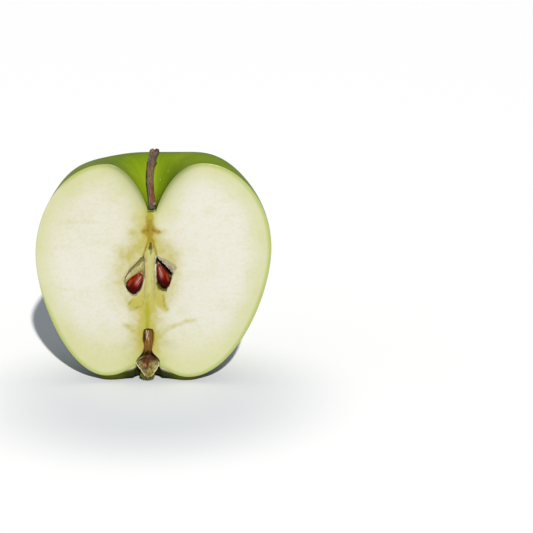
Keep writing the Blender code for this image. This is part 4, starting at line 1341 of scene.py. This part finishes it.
def seed_points(seed):
    """Rings along the line from tip to end: an ellipse of its two half widths and of its thickness.

    Notches, the sum of two sine waves above 0, are cut into the outer side of the round end.
    """
    tip = np.array(seed["tip"])
    end = np.array(seed["end"])
    along = (end - tip) / np.linalg.norm(end - tip)
    out = np.array([-along[1], along[0]])
    out = out * (1.0 if out[0] * seed["outward"] > 0 else -1.0)
    share = 0.5 - 0.5 * np.cos(math.pi * np.arange(1, SEED_RINGS) / SEED_RINGS)
    keys = np.linspace(0.0, 1.0, len(seed["outer"]))
    blunt = np.sqrt(np.clip(1.0 - share**9, 0.0, 1.0))
    outer = eased_table(share, keys[:-1], seed["outer"][:-1]) * blunt
    inner = eased_table(share, keys[:-1], seed["inner"][:-1]) * blunt
    late = share > keys[-2]
    fade = np.clip(1.0 - ((share - keys[-2]) / (1.0 - keys[-2])) ** 2, 0.0, 1.0)
    outer = np.where(late, seed["outer"][-2] * fade**0.85, outer)
    inner = np.where(late, seed["inner"][-2] * fade**0.5, inner)
    notches = np.maximum(0.0, np.sin(52.0 * share) + 0.6 * np.sin(31.0 * share + 1.0))
    outer = outer - seed["notch"] * notches * ease(share, 0.50, 0.75) * fade**0.5
    turn = np.linspace(0.0, 2.0 * math.pi, SEED_SIDES, endpoint=False)[None]
    reach = np.where(np.cos(turn) > 0, outer[:, None], inner[:, None])
    thick = SEED_THICKNESS / 2.0 * ((outer + inner) / (max(seed["outer"]) + max(seed["inner"])))[:, None]
    keel = 1.0 + 0.10 * np.cos(2.0 * turn) - 0.05 * np.cos(3.0 * turn + 0.6)
    across = reach * np.cos(turn)
    line = tip + share[:, None] * (end - tip)
    x = line[:, 0:1] + out[0] * across
    z = line[:, 1:2] + out[1] * across
    behind = SEED_BEHIND + thick * np.sin(turn) * keel
    points = metres(x, behind, z).reshape(-1, 3)
    ends = metres(np.array([tip[0], end[0]]), np.array([SEED_BEHIND] * 2), np.array([tip[1], end[1]]))
    up = share[:, None] + 0.0 * turn
    values = {
        "up": with_ends(up, 0.0, 1.0),
        "across": with_ends(across / max(seed["outer"]), 0.0, 0.0),
    }
    return np.concatenate([points, ends]), tube_of_rings(SEED_RINGS - 1, SEED_SIDES), values


def seed_finish(settings):
    """Glossy coat with fine streaks from the tip, darker at the round end, pale at the very tip, with painted
    highlights down the middle and on the outer flank.
    """
    paint = Paint("seed_coat", 0.11, Specular_IOR_Level=0.045)
    up = paint.mask("up")
    across = paint.mask("across")
    line = paint.node("ShaderNodeCombineXYZ", {}, {"X": across * 9.0, "Y": up * 1.2})
    streak = paint.noise(line.outputs[0], 1.6, 3.0, 0.6)
    light = streak.between(0.48, 0.70) * (1.0 - up.between(0.40, 0.90))
    base = paint.mix(settings.coat, settings.coat_pale_and_highlight, light * 0.8)
    base = paint.mix(base, settings.coat_dark, up.between(0.42, 0.88) * 0.92)
    base = paint.mix(base, settings.coat_dark, (1.0 - streak.between(0.30, 0.46)) * 0.6)
    # Painted highlight down the middle of the seed
    glint = (1.0 - ((across - 0.05 + up * 0.25) * 3.2) ** 2.0).between(0.0, 1.0) * up.between(0.10, 0.25)
    glint = glint * (1.0 - up.between(0.45, 0.68)) * streak.between(0.42, 0.60)
    inner = (1.0 - across.between(-0.75, -0.10)) * up.between(0.20, 0.50)
    base = paint.mix(base, settings.coat_dark, inner * 0.75)
    base = paint.mix(base, settings.coat_highlight, glint * 0.72)
    # Painted highlight on the outer flank
    flank = across.between(0.40, 0.62) * (1.0 - across.between(0.72, 0.90))
    flank = flank * up.between(0.40, 0.55) * (1.0 - up.between(0.70, 0.85))
    base = paint.mix(base, settings.coat_pale_and_highlight, flank * 0.5)
    base = paint.mix(base, settings.coat_tip, 1.0 - up.between(0.02, 0.09))
    paint.bump(streak, 0.00012, 0.9)
    return paint.finish(Base_Color=base)


class FRUIT_OT_seeds(bpy.types.Operator):
    """Builds the two seeds in their chambers"""

    bl_idname = "fruit.seeds"
    bl_label = "Seeds"

    def execute(self, context):
        finish = seed_finish(context.scene.fruit_seeds)
        for node, seed in SEEDS.items():
            points, faces, values = seed_points(seed)
            made = piece(f"{node}_coat", points, faces, [0] * len(faces), [finish], values)
            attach(made, "root")
            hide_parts(node)
        return {"FINISHED"}


def limbs(line, across, half, thick, sides, cup=0.0):
    """Tapered bodies along lines: P + w cos(a) A + (t sin(a) - c w cos(a)^2) N, closed at both ends.

    N is square to the line and to the direction A that is given. All lines are worked out at once.
    """
    count, steps = half.shape
    run = np.gradient(line, axis=1)
    out = np.cross(run, across)
    out /= np.linalg.norm(out, axis=-1, keepdims=True)
    flat = np.cross(out, run)
    flat /= np.linalg.norm(flat, axis=-1, keepdims=True)
    turn = np.linspace(0.0, 2.0 * math.pi, sides, endpoint=False)
    wide = half[:, :, None] * np.cos(turn)
    deep = thick[:, :, None] * np.sin(turn) - cup * half[:, :, None] * np.cos(turn) ** 2
    body = line[:, :, None] + flat[:, :, None] * wide[..., None] + out[:, :, None] * deep[..., None]
    points = np.concatenate([body.reshape(count, steps * sides, 3), line[:, :1], line[:, -1:]], 1)
    one = tube_of_rings(steps, sides)
    size = steps * sides + 2
    faces = [[corner + size * number for corner in face] for number in range(count) for face in one]
    side = with_ends(np.tile(np.cos(turn), steps), 0.0, 0.0)
    return points.reshape(-1, 3), faces, np.tile(side, count)


def curve_through(points, steps):
    """A line of steps points, even in share, through the given ones."""
    points = np.array(points, float)
    keys = np.linspace(0.0, 1.0, len(points))
    share = np.linspace(0.0, 1.0, steps)
    return np.stack([eased_table(share, keys, points[:, axis]) for axis in range(3)], -1)


def calyx_part(made, kind, **masks):
    """Points, faces and numbers of one part of the calyx. Kind tells the material which part it is."""
    points, faces, _ = made
    return points, faces, {"kind": np.full(len(points), float(kind)), **masks}


def calyx_cushion():
    """A stack of ovals of the widths in CALYX_CUSHION, its front roughened by waves."""
    table = np.array(CALYX_CUSHION)
    steps = 54
    share = np.linspace(0.0, 1.0, steps)
    keys = np.linspace(0.0, 1.0, len(table))
    height, left, right, front, back = (eased_table(share, keys, table[:, column]) for column in range(5))
    line = np.stack([(left + right) / 2.0, (front + back) / 2.0, height], -1)[None]
    across = np.broadcast_to([1.0, 0.0, 0.0], line.shape)
    cushion = limbs(line, across, ((right - left) / 2.0)[None], ((back - front) / 2.0)[None], 72)
    points = cushion[0]
    rough = 0.16 * waves(points[:, 0], points[:, 2] * 0.7, 1.1, 3)
    rough += 0.09 * waves(points[:, 0], points[:, 2], 0.5, 8)
    points[:, 1] += rough * (points[:, 1] < 1.2)
    points[:, 1] = np.maximum(points[:, 1], -0.30)
    return calyx_part(cushion, CUSHION)


def calyx_sepal(path, widest, thick, outer):
    """A flat limb along its path, pale on one side.

    Its half width is w sin(p (0.16 + 0.79 t))^0.7, where p is half a turn.
    """
    steps = 30
    share = np.linspace(0.0, 1.0, steps)
    line = curve_through(path, steps)[None].copy()
    line[..., 0] += 0.10 * np.sin(9.0 * share + 3.0 * outer)
    half = widest * np.sin(math.pi * (0.16 + 0.79 * share)) ** 0.7 * (1.0 + 0.08 * np.sin(31.0 * share))
    across = np.broadcast_to([1.0, 0.0, 0.35], line.shape)
    sheet = limbs(line, across, half[None], np.full((1, steps), thick), 28, 0.25)
    points, _, side = sheet
    points[:, 1] += 0.07 * waves(points[:, 0], points[:, 2], 0.8, 5)
    points[:, 1] = np.maximum(points[:, 1], -0.42)
    return calyx_part(sheet, SEPAL, cream=ease(side * outer, 0.72, 0.97))


def calyx_rim(path):
    """A narrow limb that wanders by two sine waves, pale all over."""
    steps = 40
    share = np.linspace(0.0, 1.0, steps)
    line = curve_through(path, steps)[None].copy()
    line[..., 0] += 0.07 * np.sin(23.0 * share) + 0.04 * np.sin(51.0 * share + 1.0)
    half = 0.17 * np.sin(math.pi * (0.08 + 0.87 * share)) ** 0.4 * (1.0 + 0.25 * np.sin(37.0 * share))
    rim = limbs(line, np.broadcast_to([1.0, 0.0, 0.3], line.shape), half[None], 0.6 * half[None], 8)
    return calyx_part(rim, SEPAL, cream=np.ones(len(rim[0])))


def calyx_stamens(dice):
    """Thin limbs from an arch at the top in to the tip: P + t^1.2 (Q - P), and two sine waves."""
    count = STAMEN_COUNT
    steps = 16
    share = np.linspace(0.0, 1.0, steps)[None]
    start_x = dice.uniform(-3.1, 2.0, (count, 1))
    start_z = 8.3 - 0.33 * np.abs(start_x + 0.6) ** 1.25 - dice.uniform(0.0, 1.0, (count, 1))
    end_x = CALYX_X + 0.42 * (start_x + 0.6) + dice.uniform(-0.5, 0.5, (count, 1))
    end_z = dice.uniform(2.6, 5.4, (count, 1))
    phase = dice.uniform(0.0, 6.28, (count, 1))
    sway = 0.14 * np.sin(5.0 * share + phase) + 0.07 * np.sin(13.0 * share + 2.0 * phase)
    x = start_x + (end_x - start_x) * share**1.2 + sway
    z = start_z + (end_z - start_z) * share
    behind = -0.05 - 0.17 * np.sin(math.pi * share) + 0.25 * (1.0 - share) ** 2
    behind = behind + dice.uniform(-0.05, 0.14, (count, 1))
    line = np.stack([x, behind, z], -1)
    half = dice.uniform(0.07, 0.15, (count, 1)) * (1.0 - 0.45 * share)
    sides = 7
    stamens = limbs(line, np.broadcast_to([1.0, 0.0, 0.0], line.shape), half, half, sides)
    tone = np.repeat(dice.uniform(0.0, 1.0, count), sides * steps + 2)
    return calyx_part(stamens, STAMEN, tone=tone)


def calyx_hairs(dice):
    """Short hairs along both lower sides, from a corner down to the tip: P + r t (cos a, sin a)."""
    count = HAIR_COUNT
    steps = 5
    share = np.linspace(0.0, 1.0, steps)[None]
    side = np.where(dice.uniform(size=(count, 1)) < 0.5, -1.0, 1.0)
    down = dice.uniform(0.0, 1.0, (count, 1)) ** 0.8
    corner_x = -0.65 + side * 3.25
    start_x = corner_x + (-0.8 - corner_x) * down
    start_x = start_x - side * dice.uniform(0.0, 1.5, (count, 1)) * (1.0 - 0.5 * down)
    start_z = 7.4 - 5.2 * down + dice.uniform(-0.5, 0.5, (count, 1))
    angle = dice.uniform(-1.1, 1.1, (count, 1)) - 1.35 + 0.5 * side
    reach = dice.uniform(0.35, 0.95, (count, 1))
    x = start_x + reach * share * np.cos(angle) + 0.05 * np.sin(7.0 * share + 9.0 * down)
    z = np.maximum(start_z + reach * share * np.sin(angle), 0.9)
    behind = -0.18 - 0.20 * np.sin(2.2 * share) + dice.uniform(-0.03, 0.10, (count, 1))
    half = dice.uniform(0.022, 0.045, (count, 1)) * (1.0 - 0.75 * share)
    line = np.stack([x, behind, z], -1)
    sides = 3
    hairs = limbs(line, np.broadcast_to([0.3, 1.0, 0.2], line.shape), half, half, sides)
    tone = np.repeat(dice.uniform(0.0, 1.0, count), sides * steps + 2)
    return calyx_part(hairs, HAIR, tone=tone)


def calyx_tooth(number, top_x, foot_x, foot_z):
    """A pointed limb behind the tip. Half width: 0.68 (1 - t^3), narrower at its top."""
    steps = 14
    share = np.linspace(0.0, 1.0, steps)
    path = ((top_x, 2.1, 4.4), ((top_x + foot_x) / 2, 1.35, 2.4), (foot_x, 1.0, foot_z))
    line = curve_through(path, steps)[None]
    half = 0.68 * (1.0 - share**3) * (0.25 + 0.75 * ease(share, 0.0, 0.5)) + 0.03
    across = np.broadcast_to([1.0, 0.0, 0.0], line.shape)
    tooth = limbs(line, across, half[None], 0.2 * half[None] + 0.04, 12, 0.2)
    points = tooth[0]
    points[:, 1] += 0.06 * waves(points[:, 0], points[:, 2], 0.6, number)
    return calyx_part(tooth, TOOTH)


def calyx_points():
    """All points, faces and numbers of the calyx: cushion, sepals with rims, stamens, hairs and teeth."""
    dice = np.random.default_rng(DICE_START)
    parts = [calyx_cushion()]
    parts += [calyx_sepal(*sepal) for sepal in CALYX_SEPALS]
    parts += [calyx_rim(path) for path in CALYX_RIMS]
    parts += [calyx_stamens(dice), calyx_hairs(dice)]
    parts += [calyx_tooth(number, *tooth) for number, tooth in enumerate(CALYX_FRINGE)]
    faces = []
    start = 0
    for part in parts:
        faces += [[corner + start for corner in face] for face in part[1]]
        start += len(part[0])
    x, behind, z = np.concatenate([part[0] for part in parts]).T
    values = {kind: drawn(x, z, kind) for kind in ("maroon", "salmon", "pale")}
    for key in ("kind", "tone", "cream"):
        values[key] = np.concatenate([part[2].get(key, np.zeros(len(part[0]))) for part in parts])
    return metres(x, behind, z), faces, values


def calyx_finish(settings):
    """Dry and downy: olive stamens on top, maroon in the middle, pale rims, dark green teeth.

    From a kind on is 1 on that kind of part and on all after it, and 0 on those before it.
    """
    paint = Paint("dry_calyx", 0.85, Specular_IOR_Level=0.12)
    place = paint.place()
    blotch = paint.noise(place, 1100.0, 4.0, 0.6)
    kind = paint.mask("kind")
    from_sepal, from_stamen, from_hair, from_tooth = (
        kind.between(first - 0.6, first - 0.4) for first in (SEPAL, STAMEN, HAIR, TOOTH)
    )
    tone = paint.mask("tone")
    base = paint.mix(settings.stamen, settings.sepal, blotch.between(0.46, 0.58) * 0.7)
    base = paint.mix(base, settings.sepal, from_sepal * (1.0 - from_stamen) * 0.9)
    base = paint.mix(base, settings.sepal, from_stamen * tone.between(0.3, 0.8) * 0.8)
    base = paint.mix(base, settings.sepal, paint.mask("pale") * 0.75)
    base = paint.mix(base, settings.sepal_rim, paint.mask("pale") * blotch.between(0.50, 0.62) * 0.55)
    base = paint.mix(base, settings.stamen_red, paint.mask("maroon") * (0.70 + blotch * 0.7))
    base = paint.mix(base, settings.salmon, paint.mask("salmon") * blotch.between(0.32, 0.50))
    base = paint.mix(base, settings.sepal_rim, from_hair * tone.between(0.25, 0.75) * 0.85)
    base = paint.mix(base, settings.sepal_rim, paint.mask("cream"))
    base = paint.mix(base, settings.fringe, from_tooth)
    shade = (1.0 - blotch.between(0.36, 0.50)) * (1.0 - paint.mask("cream"))
    base = paint.mix(base, settings.stamen, shade * 0.75)
    paint.bump(blotch, 0.00018, 0.9)
    return paint.finish(Base_Color=base)


class FRUIT_OT_calyx(bpy.types.Operator):
    """Builds the dried calyx with its stamens, sepals and down"""

    bl_idname = "fruit.calyx"
    bl_label = "Calyx"

    def execute(self, context):
        settings = context.scene.fruit_calyx
        points, faces, values = calyx_points()
        made = piece("calyx_dry", points, faces, [0] * len(faces), [calyx_finish(settings)], values)
        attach(made, "root")
        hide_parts("calyx")
        return {"FINISHED"}


class FRUIT_OT_stage(bpy.types.Operator):
    """Sets up the floor, the light and the camera"""

    bl_idname = "fruit.stage"
    bl_label = "Stage"

    def execute(self, context):
        settings = context.scene.fruit_stage
        scene = context.scene
        scene.view_settings.view_transform = "Standard"
        paint = Paint("pale_floor", 0.9, Specular_IOR_Level=0.1)
        # Painted shade: the floor darker round the fruit, pale further away
        ends = {0: paint.place(), 1: FLOOR_MIDDLE}
        spread = paint.node("ShaderNodeVectorMath", {"operation": "DISTANCE"}, ends)
        far = Number(paint, spread.outputs["Value"])
        shaded_floor_colour = paint.mix(settings.floor, settings.floor_far, far.between(FLOOR_NEAR, FLOOR_FAR))
        finish = paint.finish(Base_Color=shaded_floor_colour)
        floor = piece("floor", FLOOR_CORNERS, [(0, 1, 2, 3)], [0], [finish], {})
        if floor.data.polygons[0].normal.z < 0:
            floor.data.flip_normals()
        world = bpy.data.worlds.new("soft_sky")
        world.use_nodes = True
        back = world.node_tree.nodes["Background"]
        back.inputs["Color"].default_value = (*settings.sky, 1.0)
        back.inputs["Strength"].default_value = SKY_STRENGTH
        scene.world = world
        sun = bpy.data.lights.new("key", "SUN")
        sun.energy = SUN_POWER
        sun.angle = SUN_WIDTH
        sun.color = SUN_COLOUR
        lamp = bpy.data.objects.new("key", sun)
        lamp.rotation_euler = Vector(SUN_TRAVEL).to_track_quat("-Z", "Y").to_euler()
        scene.collection.objects.link(lamp)
        area = bpy.data.lights.new("soft_left", "AREA")
        area.shape = "DISK"
        area.size = SOFT_SIZE
        area.energy = SOFT_POWER
        soft = bpy.data.objects.new("soft_left", area)
        soft.location = SOFT_PLACE
        aim = Vector(SOFT_AIM) - soft.location
        soft.rotation_euler = aim.to_track_quat("-Z", "Y").to_euler()
        scene.collection.objects.link(soft)
        camera = bpy.data.cameras.new("camera")
        camera.lens = CAMERA_LENS
        camera.sensor_width = CAMERA_SENSOR
        camera.clip_end = CAMERA_REACH
        view = bpy.data.objects.new("camera", camera)
        view.location = CAMERA_PLACE
        view.rotation_euler = Euler((CAMERA_TILT, 0.0, 0.0))
        scene.collection.objects.link(view)
        scene.camera = view
        return {"FINISHED"}


class FRUIT_PT_panel(bpy.types.Panel):
    """Pieces of the fruit half"""

    bl_idname = "FRUIT_PT_panel"
    bl_label = "Fruit half"
    bl_space_type = "VIEW_3D"
    bl_region_type = "UI"
    bl_category = "Fruit"

    def draw(self, context):
        for maker, group in PIECES:
            self.layout.operator(maker.bl_idname)
            settings = getattr(context.scene, group)
            for key in settings.bl_rna.properties.keys():
                if key not in ("rna_type", "name"):
                    self.layout.prop(settings, key)


PIECES = (
    (FRUIT_OT_flesh, "fruit_flesh"),
    (FRUIT_OT_stalk, "fruit_stalk"),
    (FRUIT_OT_seeds, "fruit_seeds"),
    (FRUIT_OT_calyx, "fruit_calyx"),
    (FRUIT_OT_stage, "fruit_stage"),
)
GROUPS = (FleshSettings, StalkSettings, SeedSettings, CalyxSettings, StageSettings)


def register():
    """Adds the settings, the operators and the panel."""
    for (maker, key), group in zip(PIECES, GROUPS):
        bpy.utils.register_class(group)
        bpy.utils.register_class(maker)
        setattr(bpy.types.Scene, key, PointerProperty(type=group))
    bpy.utils.register_class(FRUIT_PT_panel)


def unregister():
    """Takes the panel, the operators and the settings away."""
    bpy.utils.unregister_class(FRUIT_PT_panel)
    for (maker, key), group in zip(PIECES, GROUPS):
        delattr(bpy.types.Scene, key)
        bpy.utils.unregister_class(maker)
        bpy.utils.unregister_class(group)


def main():
    """Builds every piece and the stage."""
    register()
    bpy.ops.fruit.flesh()
    bpy.ops.fruit.stalk()
    bpy.ops.fruit.seeds()
    bpy.ops.fruit.calyx()
    bpy.ops.fruit.stage()


if __name__ == "__main__":
    main()
